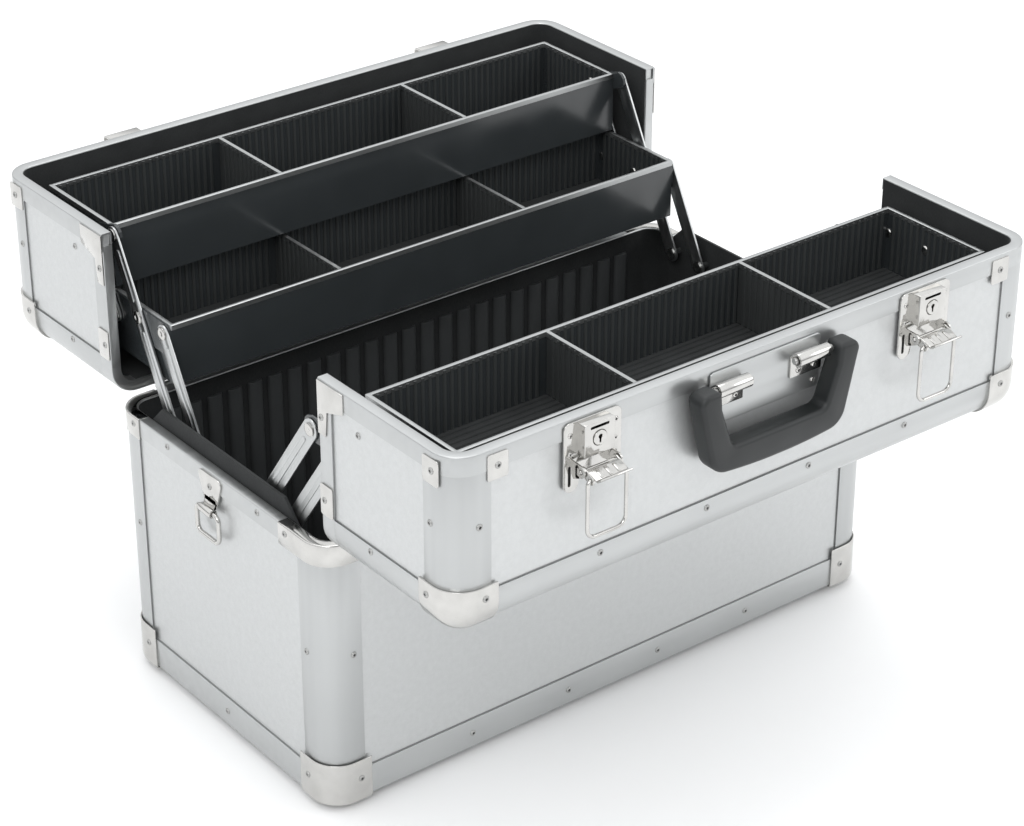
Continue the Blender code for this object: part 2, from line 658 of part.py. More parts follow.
def latch_plate(name, x, look):
    """A face plate with a raised lock box and two ears for the lever's pin."""
    low, high, box_half = 70 * MM, 113 * MM, 10.5 * MM
    lap = PLATE_FRONT - GAP
    plate = rounded_rect(-20 * MM, low, 20 * MM, high, 6 * MM)
    case = [(-box_half, 92 * MM), (box_half, 92 * MM), (box_half, high - MM), (-box_half, high - MM)]
    ear = arc(*LATCH_PIVOT, 3.6 * MM, -60, 90) + [(lap, LATCH_PIVOT[1] + 4 * MM), (lap, LATCH_PIVOT[1] - 7 * MM)]
    solids = [prism(on_lid_face(-1, x), plate, PLATE_BACK, PLATE_FRONT),
              prism(on_lid_face(-1, x), case, lap, PLATE_FRONT + 6 * MM,
                    [circle(0, KEYWAY_HEIGHT, CYLINDER_R + GAP, 12)])]
    for ear_x in (-13.5 * MM, 12.3 * MM):
        solids.append(prism(across_lid(-1, x + ear_x), ear, 0, PLATE_T, [circle(*LATCH_PIVOT, 1.6 * MM, 8)]))
    finish_joined(f"latch_plate_{name}", solids, look, (0, -HINGE_Y, BASE_TOP))


def lock_cylinder(name, x, look):
    back, front, chamfer = PLATE_FRONT + GAP, PLATE_FRONT + 6.6 * MM, 0.6 * MM
    place = on_lid_face(-1, x)
    profile = ((CYLINDER_R, back), (CYLINDER_R, front - chamfer), (CYLINDER_R - chamfer, front))
    barrel = lathe(lambda u, v, out: place(u, KEYWAY_HEIGHT + v, out), profile, 12)
    finish_piece(f"lock_cylinder_{name}", barrel, look, place(0, KEYWAY_HEIGHT, front))


def latch_lever(name, x, look):
    """Two cheeks, a folded tongue between them and the cross pin that turns in the plate's ears."""
    place = across_lid(-1, x)
    cheek = bar_outline(LATCH_PIVOT, BAIL_PIVOT, 5.4 * MM, 4)
    eye = circle(*BAIL_PIVOT, BAIL_WIRE_R + 0.4 * MM, 8)
    tongue = [beside(BAIL_PIVOT, (u * MM, v * MM)) for u, v in
              ((-4.6, 4.6), (4, 1.6), (8, 4), (8.6, 2.8), (4.2, 0.2), (2.8, 1.5), (0, 2.1), (-4.2, 3.2))]
    solids = [prism(place, cheek, low, low + 1.4 * MM, [eye]) for low in (-12.0 * MM, 10.6 * MM)]
    solids.append(prism(place, tongue, -11.2 * MM, 11.2 * MM))
    solids.append(prism(place, circle(*LATCH_PIVOT, 1.15 * MM, 8), -13.8 * MM, 13.8 * MM))
    finish_joined(f"latch_lever_{name}", solids, look, place(*LATCH_PIVOT, 0))


def latch_bail(name, x, look):
    """A wire loop whose turned-in ends sit in the lever's cheeks."""
    top, low, half, end_x = BAIL_PIVOT[1], 46 * MM, 13.6 * MM, 9.4 * MM
    corner, turn_in = 6 * MM, 2.4 * MM
    right = arc(half - corner, low + corner, corner, 270, 360)
    right += arc(half - turn_in, top - turn_in, turn_in, 0, 90, 3) + [(end_x, top)]
    path = mirrored(right) + right
    place = on_lid_face(-1, x)
    points = [place(u, v, BAIL_PIVOT[0]) for u, v in path]
    loop = wire(points, Vector((0, 1, 0)), BAIL_WIRE_R, closed=False, sides=6)
    finish_piece(f"latch_bail_{name}", loop, look, place(0, top, BAIL_PIVOT[0]))


def latch_catch(name, x, look):
    """A hooked plate on the back lid that the bail pulls against."""
    low, top, hook = 92 * MM, 112.5 * MM, PLATE_BACK + 12.4 * MM
    lip = hook - PLATE_T
    outline = [(PLATE_BACK, low), (PLATE_FRONT, low), (PLATE_FRONT, top - 2 * PLATE_T),
               (PLATE_FRONT + PLATE_T, top - PLATE_T), (lip, top - PLATE_T), (lip, top - 6 * MM),
               (hook, top - 6 * MM), (hook, top), (PLATE_BACK, top)]
    catch = prism(across_lid(1, x), outline, -12 * MM, 12 * MM)
    finish_piece(f"latch_catch_{name}", catch, look, (0, HINGE_Y, BASE_TOP))


def handle_bracket(look):
    """One plate with two raised clips that hold the handle's pins."""
    out, up = HANDLE_PIVOT
    clip_r, foot = 4.8 * MM, PLATE_FRONT - GAP
    plate = rounded_rect(-42 * MM, 76 * MM, 42 * MM, 110 * MM, 3 * MM)
    clip = arc(out, up, clip_r, -60, 90, 5) + [(foot, up + clip_r), (foot, up - 12 * MM)]
    clip += [(foot + PLATE_T + GAP, up - 12 * MM)]
    solids = [prism(on_lid_face(-1), plate, PLATE_BACK, PLATE_FRONT)]
    for end in (-1, 1):
        solids.append(prism(across_lid(-1, mirror=end), clip, 18 * MM, 42 * MM, [circle(out, up, 2.6 * MM)]))
    finish_joined("handle_bracket", solids, look, (0, -HINGE_Y, BASE_TOP))


def handle_grip(look):
    """A flat-faced loop grip with a pin in each leg."""
    outer = [(HANDLE_INNER_X, 106 * MM)] + arc(54 * MM, 100 * MM, 6 * MM, 90, 0, 3)
    outer += arc(38 * MM, 66.5 * MM, 14 * MM, -12, -84) + arc(0, 428 * MM, 377.5 * MM, -85, -89, 2)
    inner = arc(31 * MM, 74.5 * MM, 6 * MM, -90, -12, 3) + [(HANDLE_INNER_X - MM, 94 * MM)]
    half = outer + mirrored(outer) + mirrored(inner)[:-1] + inner[1:]
    solids = [prism(on_lid_face(-1), half, HANDLE_BACK, HANDLE_FRONT)]
    for end in (-1, 1):
        solids.append(prism(across_lid(-1, mirror=end), circle(*HANDLE_PIVOT, PIVOT_R), 16 * MM,
                            HANDLE_INNER_X + 4 * MM))
    finish_joined("handle_grip", solids, look, across_lid(-1)(*HANDLE_PIVOT, 0))


def build():
    clear_scene()
    panel = material("aluminium_panel", (0.62, 0.63, 0.63), 0.38, 0.6)
    profile = material("aluminium_profile", (0.68, 0.69, 0.69), 0.3, 0.85)
    plated = material("nickel_plate", (0.74, 0.73, 0.70), 0.15, 1.0)
    steel = material("zinc_steel", (0.52, 0.53, 0.53), 0.35, 0.9)
    tray_black = material("tray_black", (0.02, 0.023, 0.023), 0.3)
    divider = material("divider_black", (0.03, 0.033, 0.033), 0.4)
    grip = material("grip_plastic", (0.035, 0.042, 0.042), 0.5)
    rubber = material("foot_rubber", (0.05, 0.05, 0.05), 0.8)
    black_steel = material("black_steel", (0.02, 0.022, 0.022), 0.45, 0.3)

    base_panels(panel)
    base_frame(profile)
    base_rim(profile)
    rubber_feet(rubber)
    for name, end in LEFT_RIGHT:
        strap_ring(name, end, plated)
    hinges(profile)
    for prefix, side in (("front_lid", -1), ("back_lid", 1)):
        lid_panels(prefix, side, panel)
        lid_frame(prefix, side, profile)
    front_linkage(tray_black, steel)
    back_linkage(tray_black, steel)
    arm_mounts(black_steel)
    for prefix, side, tray_box in (("front", -1, FRONT_TRAY), ("middle", 1, MIDDLE_TRAY), ("upper", 1, UPPER_TRAY)):
        dividers(prefix, side, tray_box, divider)
    for name, end in LEFT_RIGHT:
        latch_plate(name, end * LATCH_X, plated)
        lock_cylinder(name, end * LATCH_X, plated)
        latch_lever(name, end * LATCH_X, plated)
        latch_bail(name, end * LATCH_X, plated)
        latch_catch(name, end * LATCH_X, plated)
    handle_bracket(plated)
    handle_grip(grip)


build()
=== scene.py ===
"""Looks of an open aluminium cosmetics train case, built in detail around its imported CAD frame.

Pieces are placed from the frame's boxes and joints. The CAD panels, trays and dividers stay, with new
materials. The edge extrusions, rims, guards, hinges, arms, latches, rings, feet and handle are replaced by
finer ones.
"""

import json
import math

import bmesh
import bpy
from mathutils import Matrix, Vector


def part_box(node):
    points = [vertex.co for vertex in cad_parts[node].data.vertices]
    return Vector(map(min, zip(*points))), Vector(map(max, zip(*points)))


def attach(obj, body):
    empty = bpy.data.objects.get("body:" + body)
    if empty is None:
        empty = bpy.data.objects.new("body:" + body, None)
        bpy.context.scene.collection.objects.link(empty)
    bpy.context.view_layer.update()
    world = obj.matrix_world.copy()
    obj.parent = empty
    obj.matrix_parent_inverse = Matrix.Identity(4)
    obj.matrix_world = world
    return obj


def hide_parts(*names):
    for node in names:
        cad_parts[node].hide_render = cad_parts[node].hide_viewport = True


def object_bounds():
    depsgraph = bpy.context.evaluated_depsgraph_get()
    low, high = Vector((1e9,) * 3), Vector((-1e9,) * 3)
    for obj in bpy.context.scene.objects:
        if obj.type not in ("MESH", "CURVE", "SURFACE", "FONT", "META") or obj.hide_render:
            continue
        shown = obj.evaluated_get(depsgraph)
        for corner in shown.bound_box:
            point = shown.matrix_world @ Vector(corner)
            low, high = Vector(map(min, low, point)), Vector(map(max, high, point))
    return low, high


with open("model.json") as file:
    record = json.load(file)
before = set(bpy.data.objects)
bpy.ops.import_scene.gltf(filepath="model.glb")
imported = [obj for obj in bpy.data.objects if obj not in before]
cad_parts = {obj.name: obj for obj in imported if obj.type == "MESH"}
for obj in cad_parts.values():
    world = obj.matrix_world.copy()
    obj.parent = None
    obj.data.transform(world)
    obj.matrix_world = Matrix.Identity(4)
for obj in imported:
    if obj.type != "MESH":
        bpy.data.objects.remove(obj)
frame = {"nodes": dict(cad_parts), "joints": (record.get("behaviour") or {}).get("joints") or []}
cad_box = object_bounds()

MM = 0.001
STEPS = 9  # facets in a quarter turn of a rounded edge
SMOOTH_BELOW = 40  # degrees; edges that turn by more are shaded sharp
AXIS_X, AXIS_Y, AXIS_Z = Vector((1, 0, 0)), Vector((0, 1, 0)), Vector((0, 0, 1))
LEFT_RIGHT = (("left", -1), ("right", 1))
FRONT_BACK = (("front", -1), ("back", 1))
LIDS = (("front_lid", -1), ("back_lid", 1))

JOINTS = {joint["name"]: Vector(joint["pos_m"]) for joint in frame["joints"]}
HINGE_Y, BASE_TOP = JOINTS["back_lid_hinge"].yz

# Sheet stock, as the CAD has it
PANEL_OUT = 1.3 * MM  # a panel's outer face, in from the case's envelope
PROFILE_SINK = -0.1 * MM  # how far a rounded extrusion's outer face stands off the envelope
PROFILE_IN = 0.9 * MM
RIM_WIDTH = 7.3 * MM
RIM_BAND = 12 * MM
RIM_LIP = 8 * MM
STRIP_REACH = 26 * MM
EDGE_RADIUS = 18 * MM
GUARD_T = 1.25 * MM  # how far guards, braces and plates stand off the case
BRACE_T = 0.8 * MM
FITTING_T = 1.5 * MM
GAP = 0.3 * MM
TOUCH = 0.02 * MM  # how far a piece that lies on another is set off it or into it
LINING_INSET = RIM_WIDTH + 0.1 * MM
LINING_T = 0.3 * MM

HALF_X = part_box("base_right_panel")[1].x + PANEL_OUT
HALF_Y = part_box("base_back_panel")[1].y + PANEL_OUT
LID_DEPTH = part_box("back_lid_face_panel")[1].y + PANEL_OUT - HINGE_Y
LID_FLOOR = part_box("back_lid_side_panel")[0].z - PANEL_OUT - BASE_TOP
LID_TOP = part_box("back_lid_frame")[1].z - BASE_TOP
FLOOR_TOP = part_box("base_floor_panel")[1].z
GUARD_REACH = 30 * MM
GUARD_HEIGHT = 27 * MM
RIVET_INSET = 20 * MM  # rivets sit this far in from the case's virtual corners
RIVET_R = 2.1 * MM
TRAY_HALF_X = 200.5 * MM
TRAY_WALL = 2.0 * MM
DIVIDER_T = 1.6 * MM
RIB_PITCH, RIB_WIDTH, RIB_PROUD = 5.1 * MM, 2.5 * MM, 1.0 * MM
FLUTE_PITCH, FLUTE_GAP, FLUTE_PROUD = 15.3 * MM, 4.2 * MM, 3.2 * MM

# The view, solved from the case's edges
CAMERA_LENS, CAMERA_SENSOR = 99.63, 36
CAMERA_AT = (-0.97924, -1.26284, 1.03093)
CAMERA_TILT, CAMERA_HEADING = 61.078, -37.951


# ------------ materials


class Look:
    """A Principled material with a procedural node graph."""

    def __init__(self, name, colour, metallic, roughness, **fixed):
        self.material = bpy.data.materials.new(name)
        self.material.use_nodes = True
        self.tree = self.material.node_tree
        self.shader = self.tree.nodes["Principled BSDF"]
        self.colour, self.roughness = (*colour, 1), roughness
        self.shader.inputs["Metallic"].default_value = metallic
        for socket, value in fixed.items():
            self.shader.inputs[socket.replace("_", " ")].default_value = value
        self.place = self.node("ShaderNodeTexCoord").outputs["Object"]

    def node(self, kind, settings=(), **inputs):
        made = self.tree.nodes.new(kind)
        for name, value in dict(settings).items():
            setattr(made, name, value)
        for name, value in inputs.items():
            socket = made.inputs[name.replace("_", " ")]
            if isinstance(value, bpy.types.NodeSocket):
                self.tree.links.new(value, socket)
            else:
                socket.default_value = value
        return made

    def noise(self, scale, stretch=(1, 1, 1), detail=3.0):
        """Noise whose features are about 1 / scale metres, drawn out along the axes that stretch divides."""
        size = [scale / s for s in stretch]
        mapped = self.node("ShaderNodeMapping", Vector=self.place, Scale=size).outputs["Vector"]
        return self.node("ShaderNodeTexNoise", Vector=mapped, Scale=1.0, Detail=detail).outputs["Fac"]

    def shaded(self, value, dark, light):
        """The base colour, from dark to light times itself as the value rises."""
        ramp = self.node("ShaderNodeValToRGB", Fac=value)
        for stop, at, gain in zip(ramp.color_ramp.elements, (0.3, 0.7), (dark, light)):
            stop.position = at
            stop.color = (*[min(1, c * gain) for c in self.colour[:3]], 1)
        self.tree.links.new(ramp.outputs["Color"], self.shader.inputs["Base Color"])
        return self

    def rough(self, value, spread):
        """Varies the roughness by the spread as the value runs through its middle range."""
        low, high = self.roughness - spread, self.roughness + spread
        level = self.node("ShaderNodeMapRange", Value=value, From_Min=0.35, From_Max=0.65,
                          To_Min=low, To_Max=high)
        self.tree.links.new(level.outputs["Result"], self.shader.inputs["Roughness"])
        return self

    def bumped(self, *layers):
        """Stacks bump layers of (height, depth in metres)."""
        normal = None
        for height, depth in layers:
            inputs = dict(Height=height, Distance=depth, Strength=1.0)
            if normal:
                inputs["Normal"] = normal
            normal = self.node("ShaderNodeBump", **inputs).outputs["Normal"]
        self.tree.links.new(normal, self.shader.inputs["Normal"])
        return self


def brushed(name, colour, roughness, along, metallic=1.0):
    """Metal with a fine grain along one axis, streaks in its gloss and soft clouds."""
    look = Look(name, colour, metallic, roughness)
    stretch = [40 if axis == along else 1 for axis in "xyz"]
    grain, streak = look.noise(420, stretch, 0.0), look.noise(160, stretch, 1.0)
    look.shaded(look.noise(16, detail=1.0), 0.96, 1.03).rough(streak, 0.05)
    return look.bumped((grain, 0.004 * MM), (look.noise(9, detail=1.0), 0.2 * MM)).material


def sheet_metal():
    """Satin sheet skin with a fine pearly texture and the slight unevenness of sheet glued to board."""
    look = Look("satin_sheet", (0.56, 0.57, 0.57), 0.72, 0.4)
    fleck = look.noise(1000, detail=1.0)
    look.shaded(look.noise(260, detail=3.0), 0.97, 1.02).rough(fleck, 0.07)
    return look.bumped((fleck, 0.012 * MM), (look.noise(420, detail=1.0), 0.015 * MM),
                       (look.noise(7, detail=1.0), 0.4 * MM)).material


def plated(name, colour, roughness):
    look = Look(name, colour, 1.0, roughness)
    look.shaded(look.noise(90, detail=3.0), 0.9, 1.04).rough(look.noise(260, detail=2.0), 0.06)
    dents, grain = look.noise(240, detail=1.0), look.noise(1300, detail=0.0)
    return look.bumped((dents, 0.02 * MM), (grain, 0.003 * MM)).material


def moulded(name, colour, roughness, grain_scale, depth, coat=0.0):
    """Moulded or painted black stock with a fine pebble and faint dust."""
    look = Look(name, colour, 0.0, roughness, Coat_Weight=coat, Coat_Roughness=0.12)
    pebble = look.noise(grain_scale, detail=0.0)
    look.shaded(look.noise(35, detail=1.0), 0.95, 1.06).rough(look.noise(40, detail=1.0), 0.05)
    return look.bumped((pebble, depth), (look.noise(18, detail=0.0), 0.2 * MM)).material


def ribbed_cloth(name, colour):
    """Matt black lining cloth with a fine crossed weave."""
    look = Look(name, colour, 0.0, 0.85, Sheen_Weight=0.04, Sheen_Roughness=0.6, Specular_IOR_Level=0.3)
    weave = look.noise(1800, (1, 1, 3), 1.0)
    look.shaded(look.noise(60, detail=8.0), 0.85, 1.2).rough(weave, 0.08)
    return look.bumped((weave, 0.05 * MM), (look.noise(25), 0.3 * MM)).material


SHEET = sheet_metal()
ALONG = {axis: brushed(f"extrusion_{axis}", (0.48, 0.49, 0.49), 0.33, axis, 0.88) for axis in "xyz"}
NICKEL = plated("nickel_plating", (0.56, 0.553, 0.535), 0.12)
STRIP_STEEL = brushed("zinc_strip", (0.50, 0.51, 0.51), 0.34, "z")
RIVET = plated("rivet_steel", (0.42, 0.42, 0.41), 0.34)
# Near-black steel for the rivets' mandrels, and painted shade in the latches' slots, lock boxes and keyways.
MANDRELS_AND_SHADE = plated("mandrel_steel_and_painted_shade", (0.06, 0.06, 0.06), 0.45)
EDGE_METAL = brushed("tray_edge_metal", (0.42, 0.43, 0.43), 0.38, "x")
TRAY_GLOSS = moulded("tray_gloss", (0.030, 0.034, 0.036), 0.22, 330, 0.012 * MM, 0.3)
TRAY_RIB = moulded("tray_rib", (0.040, 0.043, 0.043), 0.34, 500, 0.01 * MM, 0.2)
LINING = ribbed_cloth("lining_cloth", (0.019, 0.0205, 0.021))
GRIP = moulded("grip_plastic", (0.008, 0.0098, 0.0103), 0.44, 700, 0.02 * MM)
RUBBER = moulded("foot_rubber", (0.03, 0.03, 0.03), 0.75, 1900, 0.08 * MM)
# Painted shade: grey strips along the seams, for the shade in the crevice where an extrusion's edge lies on
# a panel.
SEAM_SHADE = moulded("seam_painted_shade", (0.24, 0.245, 0.245), 0.7, 1500, 0.05 * MM)
FLUTE = moulded("flute_vinyl", (0.046, 0.049, 0.050), 0.36, 700, 0.02 * MM)


# ------------ outlines and places


def mm(points, at=(0, 0)):
    """Brings points drawn in millimetres to a place in metres."""
    return [(at[0] + u * MM, at[1] + v * MM) for u, v in points]


def circle(u, v, radius, sides=24):
    turns = (math.tau * i / sides for i in range(sides))
    return [(u + radius * math.cos(t), v + radius * math.sin(t)) for t in turns]


def arc(u, v, radius, start, end, steps=STEPS):
    turns = [math.radians(start + (end - start) * i / steps) for i in range(steps + 1)]
    return [(u + radius * math.cos(t), v + radius * math.sin(t)) for t in turns]


def rounded_rect(u0, v0, u1, v1, radius, steps=5):
    corners = ((u1, v1, -1, -1), (u0, v1, 1, -1), (u0, v0, 1, 1), (u1, v0, -1, 1))
    outline = []
    for i, (u, v, du, dv) in enumerate(corners):
        outline += arc(u + du * radius, v + dv * radius, radius, 90 * i, 90 * (i + 1), steps)
    return outline


def bar_outline(start, end, width, steps=12):
    heading = math.degrees(math.atan2(end[1] - start[1], end[0] - start[0]))
    return (arc(*end, width / 2, heading - 90, heading + 90, steps)
            + arc(*start, width / 2, heading + 90, heading + 270, steps))


def mirrored(outline):
    return [(-u, v) for u, v in reversed(outline)]


def corner_section():
    """Section of a rounded edge extrusion, measured inward from the sharp corner along both faces."""
    centre, reach, outer, inner = EDGE_RADIUS, STRIP_REACH, -PROFILE_SINK, PROFILE_IN
    return ([(reach, outer)] + arc(centre, centre, centre - outer, 270, 180) + [(outer, reach)]
            + [(inner, reach)] + arc(centre, centre, centre - inner, 180, 270) + [(reach, inner)])


def base_loop(inset):
    return rounded_rect(inset - HALF_X, inset - HALF_Y, HALF_X - inset, HALF_Y - inset,
                        max(EDGE_RADIUS - inset, 0.5 * MM), STEPS)


def lid_track(start, far, inset):
    """A path up one end, along the lid and down the other end, moved inward by the inset."""
    toward = 1 if far > start else -1
    centre_x, centre_v = HALF_X - EDGE_RADIUS, far - toward * EDGE_RADIUS
    bend = [(x, centre_v + toward * v) for x, v in arc(-centre_x, 0, EDGE_RADIUS - inset, 180, 90)]
    left = [(inset - HALF_X, start)] + bend
    return left + mirrored(left)


def rim_section():
    """Section of a rim channel as (inset, down), with its two upper edges rounded."""
    soft = 0.8 * MM
    inner, wall = RIM_WIDTH, 1.0 * MM
    outline = arc(soft, soft, soft, 180, 270, 3) + arc(inner - soft, soft, soft, 270, 360, 3)
    return outline + [(inner, RIM_LIP), (inner - wall, RIM_LIP), (inner - wall, wall), (wall, wall),
                      (wall, RIM_BAND), (0, RIM_BAND)]


def in_lid(side):
    """Maps (along, outward from the hinge, up from the hinge) of the front (-1) or back (+1) lid."""
    return lambda x, out, up: Vector((x, side * (HINGE_Y + out), BASE_TOP + up))


def across_lid(side, x0=0.0, mirror=1):
    """The same, for sections in (outward, up) that are extruded along the case from x0."""
    return lambda out, up, x: Vector((mirror * (x0 + x), side * (HINGE_Y + out), BASE_TOP + up))


def on_face(side, x0=0.0):
    """The same, for outlines in (along, up) that are extruded outward."""
    return lambda x, up, out: Vector((x0 + x, side * (HINGE_Y + out), BASE_TOP + up))


def at_end(end):
    """For outlines in (y, z) that are extruded outward along X at one end."""
    return lambda y, z, x: Vector((end * x, y, z))


# ------------ pieces


class Solid:
    """Gathers closed shapes into one named piece."""

    def __init__(self):
        self.bm = bmesh.new()

    def loft(self, rings, wrap=False):
        """Joins closed rings of points one after another, and closes or wraps the two ends."""
        grid = [[self.bm.verts.new(p) for p in ring] for ring in rings]
        for k in range(0 if wrap else 1, len(grid)):
            low, high = grid[k - 1], grid[k]
            for i in range(len(low)):
                self.bm.faces.new((low[i - 1], low[i], high[i], high[i - 1]))
        if not wrap:
            self.bm.faces.new(grid[0])
            self.bm.faces.new(grid[-1])

    def prism(self, place, outline, low, high, holes=()):
        made = bmesh.new()
        for loop in (outline, *holes):
            ring = [made.verts.new(place(u, v, low)) for u, v in loop]
            for i, vert in enumerate(ring):
                made.edges.new((vert, ring[i - 1]))
        bmesh.ops.triangle_fill(made, edges=made.edges[:], use_beauty=True, use_dissolve=False)
        bmesh.ops.dissolve_limit(made, angle_limit=0.01, verts=made.verts[:], edges=made.edges[:])
        grown = bmesh.ops.extrude_face_region(made, geom=made.faces[:], use_keep_orig=True)
        moved = [g for g in grown["geom"] if isinstance(g, bmesh.types.BMVert)]
        bmesh.ops.translate(made, verts=moved, vec=place(0, 0, high) - place(0, 0, low))
        self.absorb(made)

    def absorb(self, other):
        mesh = bpy.data.meshes.new("part")
        other.to_mesh(mesh)
        other.free()
        self.bm.from_mesh(mesh)
        bpy.data.meshes.remove(mesh)

    def turned(self, at, axis, profile, sides=24):
        """A lathed shape of (radius, height) points about an axis through a point."""
        turn = Vector((0, 0, 1)).rotation_difference(axis).to_matrix()
        self.loft([[at + turn @ Vector((x, y, height)) for x, y in circle(0, 0, radius, sides)]
                   for radius, height in profile])

    def wire(self, points, normal, radius, closed=False, sides=12):
        count = len(points)
        rings = []
        for i, point in enumerate(points):
            ahead = points[(i + 1) % count] if closed or i + 1 < count else point
            behind = points[i - 1] if closed or i > 0 else point
            across = (ahead - behind).normalized().cross(normal)
            rings.append([point + radius * (math.cos(t) * across + math.sin(t) * normal)
                          for t in (math.tau * k / sides for k in range(sides))])
        self.loft(rings, wrap=closed)

    def soften(self, width, segments=2, sharper=30):
        """Rounds every edge that turns by more than the given angle."""
        bmesh.ops.recalc_face_normals(self.bm, faces=self.bm.faces)
        edges = [e for e in self.bm.edges
                 if e.is_manifold and e.calc_face_angle(0) > math.radians(sharper)]
        bmesh.ops.bevel(self.bm, geom=edges, offset=width, segments=segments, profile=0.5,
                        affect="EDGES", clamp_overlap=True)
        return self

    def done(self, name, look, body, slot, stands_for=()):
        """Makes the piece, rides it on a body and lets it stand for CAD nodes."""
        bmesh.ops.remove_doubles(self.bm, verts=self.bm.verts, dist=0.001 * MM)
        bmesh.ops.recalc_face_normals(self.bm, faces=self.bm.faces)
        mesh = bpy.data.meshes.new(name)
        self.bm.to_mesh(mesh)
        self.bm.free()
        mesh.materials.append(look)
        mesh.shade_smooth()
        mesh.set_sharp_from_angle(angle=math.radians(SMOOTH_BELOW))
        piece = bpy.data.objects.new(name, mesh)
        bpy.context.scene.collection.objects.link(piece)
        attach(piece, body)
        if stands_for:
            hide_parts(*stands_for)
        return piece


class Rivets:
    """Domed tubular rivets and the dark mandrels left in their centres."""

    def __init__(self):
        self.heads, self.cores = Solid(), Solid()

    def add(self, at, normal, radius=RIVET_R):
        head = (1, -0.2), (1, 0.1), (0.88, 0.26), (0.64, 0.38), (0.46, 0.4), (0.4, 0.3), (0.4, -0.1)
        dark_core = (0.38, -0.1), (0.38, 0.26), (0.2, 0.32)
        for solid, profile, sides in ((self.heads, head, 16), (self.cores, dark_core, 10)):
            solid.turned(at, normal, [(r * radius, h * radius) for r, h in profile], sides)

    def done(self, name, body, look=None):
        self.heads.done(f"{name}_rivets", look or RIVET, body, "nickel_plate")
        self.cores.done(f"{name}_rivet_cores", MANDRELS_AND_SHADE, body, "zinc_steel")


def relook(look, *nodes):
    """Gives CAD nodes that stay a finished material."""
    for name in nodes:
        node = frame["nodes"][name]
        node.data.materials.clear()
        node.data.materials.append(look)


# ------------ base


def ring_of(solid, section):
    """Carries a closed section of (inset, z) round the case's plan."""
    loops = [[Vector((x, y, z)) for x, y in base_loop(inset)] for inset, z in section]
    solid.loft(zip(*loops), wrap=True)


def corner_wrap(solid, section, sx, sy, reach_x, reach_y):
    """Carries a section of (inset, z) along both faces round one upright corner."""
    loops = []
    for inset, z in section:
        bend = arc(HALF_X - EDGE_RADIUS, HALF_Y - EDGE_RADIUS, EDGE_RADIUS - inset, 0, 90)
        path = [(HALF_X - inset, HALF_Y - reach_y)] + bend + [(HALF_X - reach_x, HALF_Y - inset)]
        loops.append([Vector((sx * x, sy * y, z)) for x, y in path])
    solid.loft(zip(*loops))


def base_edges():
    """Foot angle, upright extrusions, rim channel, plated corner guards and top corner braces."""
    under, chamfer = -PANEL_OUT, 1.5 * MM
    top, inner = under + 21 * MM, 15 * MM
    foot, guards, uprights, braces = Solid(), Solid(), Solid(), Solid()
    ring_of(foot, ((0, top), (0, under + chamfer), (0.25 * chamfer, under + 0.3 * chamfer), (chamfer, under),
                   (inner, under), (inner, -GAP), (MM, -GAP), (MM, top)))
    foot.soften(0.25 * MM).done("base_foot_angle", ALONG["x"], "base", "aluminium_profile", ["base_frame"])
    lowest = under - GUARD_T
    guard = mm([(-1, 0.6), (0, 0), (14, 0), (14, 1), (0.3, 1)], (0, lowest))
    guard = [(-1.2 * MM, GUARD_HEIGHT), (-1.3 * MM, 0), *guard, (-0.3 * MM, GUARD_HEIGHT)]
    brace = mm([(-0.8, -14), (-0.9, -0.2), (-0.6, 0.35), (0, 0.55), (6.3, 0.55), (6.3, -0.2), (-0.05, -0.2),
                (-0.05, -14)], (0, BASE_TOP - GAP))
    reach = 28 * MM
    for sx in (-1, 1):
        for sy in (-1, 1):
            uprights.prism(lambda u, v, z: Vector((sx * (HALF_X - u), sy * (HALF_Y - v), z)),
                           corner_section(), 14 * MM, BASE_TOP - RIM_BAND + 2 * MM)
            corner_wrap(guards, guard, sx, sy, GUARD_REACH, GUARD_REACH)
            corner_wrap(braces, brace, sx, sy, reach, 44 * MM if sy < 0 else reach)
    uprights.soften(0.2 * MM).done("base_corner_extrusions", ALONG["z"], "base", "aluminium_profile")
    guards.soften(0.35 * MM, 3).done("base_corner_guards", NICKEL, "base", "nickel_plate")
    braces.soften(0.25 * MM).done("base_top_braces", NICKEL, "base", "nickel_plate")
    rim = Solid()
    ring_of(rim, [(inset, BASE_TOP - GAP - down) for inset, down in rim_section()])
    rim.done("base_rim_channel", ALONG["x"], "base", "aluminium_profile", ["base_rim"])


def strap_ring_mounts():
    """Riveted plates whose lower ends are rolled round the strap rings."""
    plates, rivets = Solid(), Rivets()
    for name, end in LEFT_RIGHT:
        at = JOINTS[f"strap_ring_{name}_pivot"]
        roll, sheet = 3.0 * MM, 1.2 * MM
        face, y0 = HALF_X + sheet, at.y
        centre = abs(at.x)
        shield = [(-12, 19), (-7, 4.5), (7, 4.5), (12, 19)]
        shield += arc(9, 20.5, 3, 0, 90, 4) + arc(-9, 20.5, 3, 90, 180, 4)
        plates.prism(at_end(end), mm(shield, (y0, at.z)), HALF_X + TOUCH, face)
        leave = math.degrees(math.acos((face - centre) / roll))
        curl = [(face, at.z + 8 * MM)] + arc(centre, at.z, roll, leave, -200, 18)
        curl += arc(centre, at.z, roll - sheet, -200, leave, 14) + [(HALF_X + 0.1 * MM, at.z + 8 * MM)]
        plates.prism(lambda x, z, y: Vector((end * x, y0 + y, z)), curl, -6.4 * MM, 6.4 * MM)
        rivets.add(Vector((end * face, y0, at.z + 15.5 * MM)), end * AXIS_X)
        ring = Solid()
        half, drop = 12 * MM, 19 * MM
        outline = rounded_rect(y0 - half, at.z - drop, y0 + half, at.z, 4.5 * MM, 8)
        ring.wire([Vector((at.x, y, z)) for y, z in outline], AXIS_X, 1.5 * MM, closed=True)
        ring.done(f"strap_ring_wire_{name}", NICKEL, f"ring_{name}", "nickel_plate", [f"strap_ring_{name}"])
    plates.soften(0.25 * MM).done("strap_ring_plates", NICKEL, "base", "nickel_plate")
    rivets.done("strap_plate", "base")


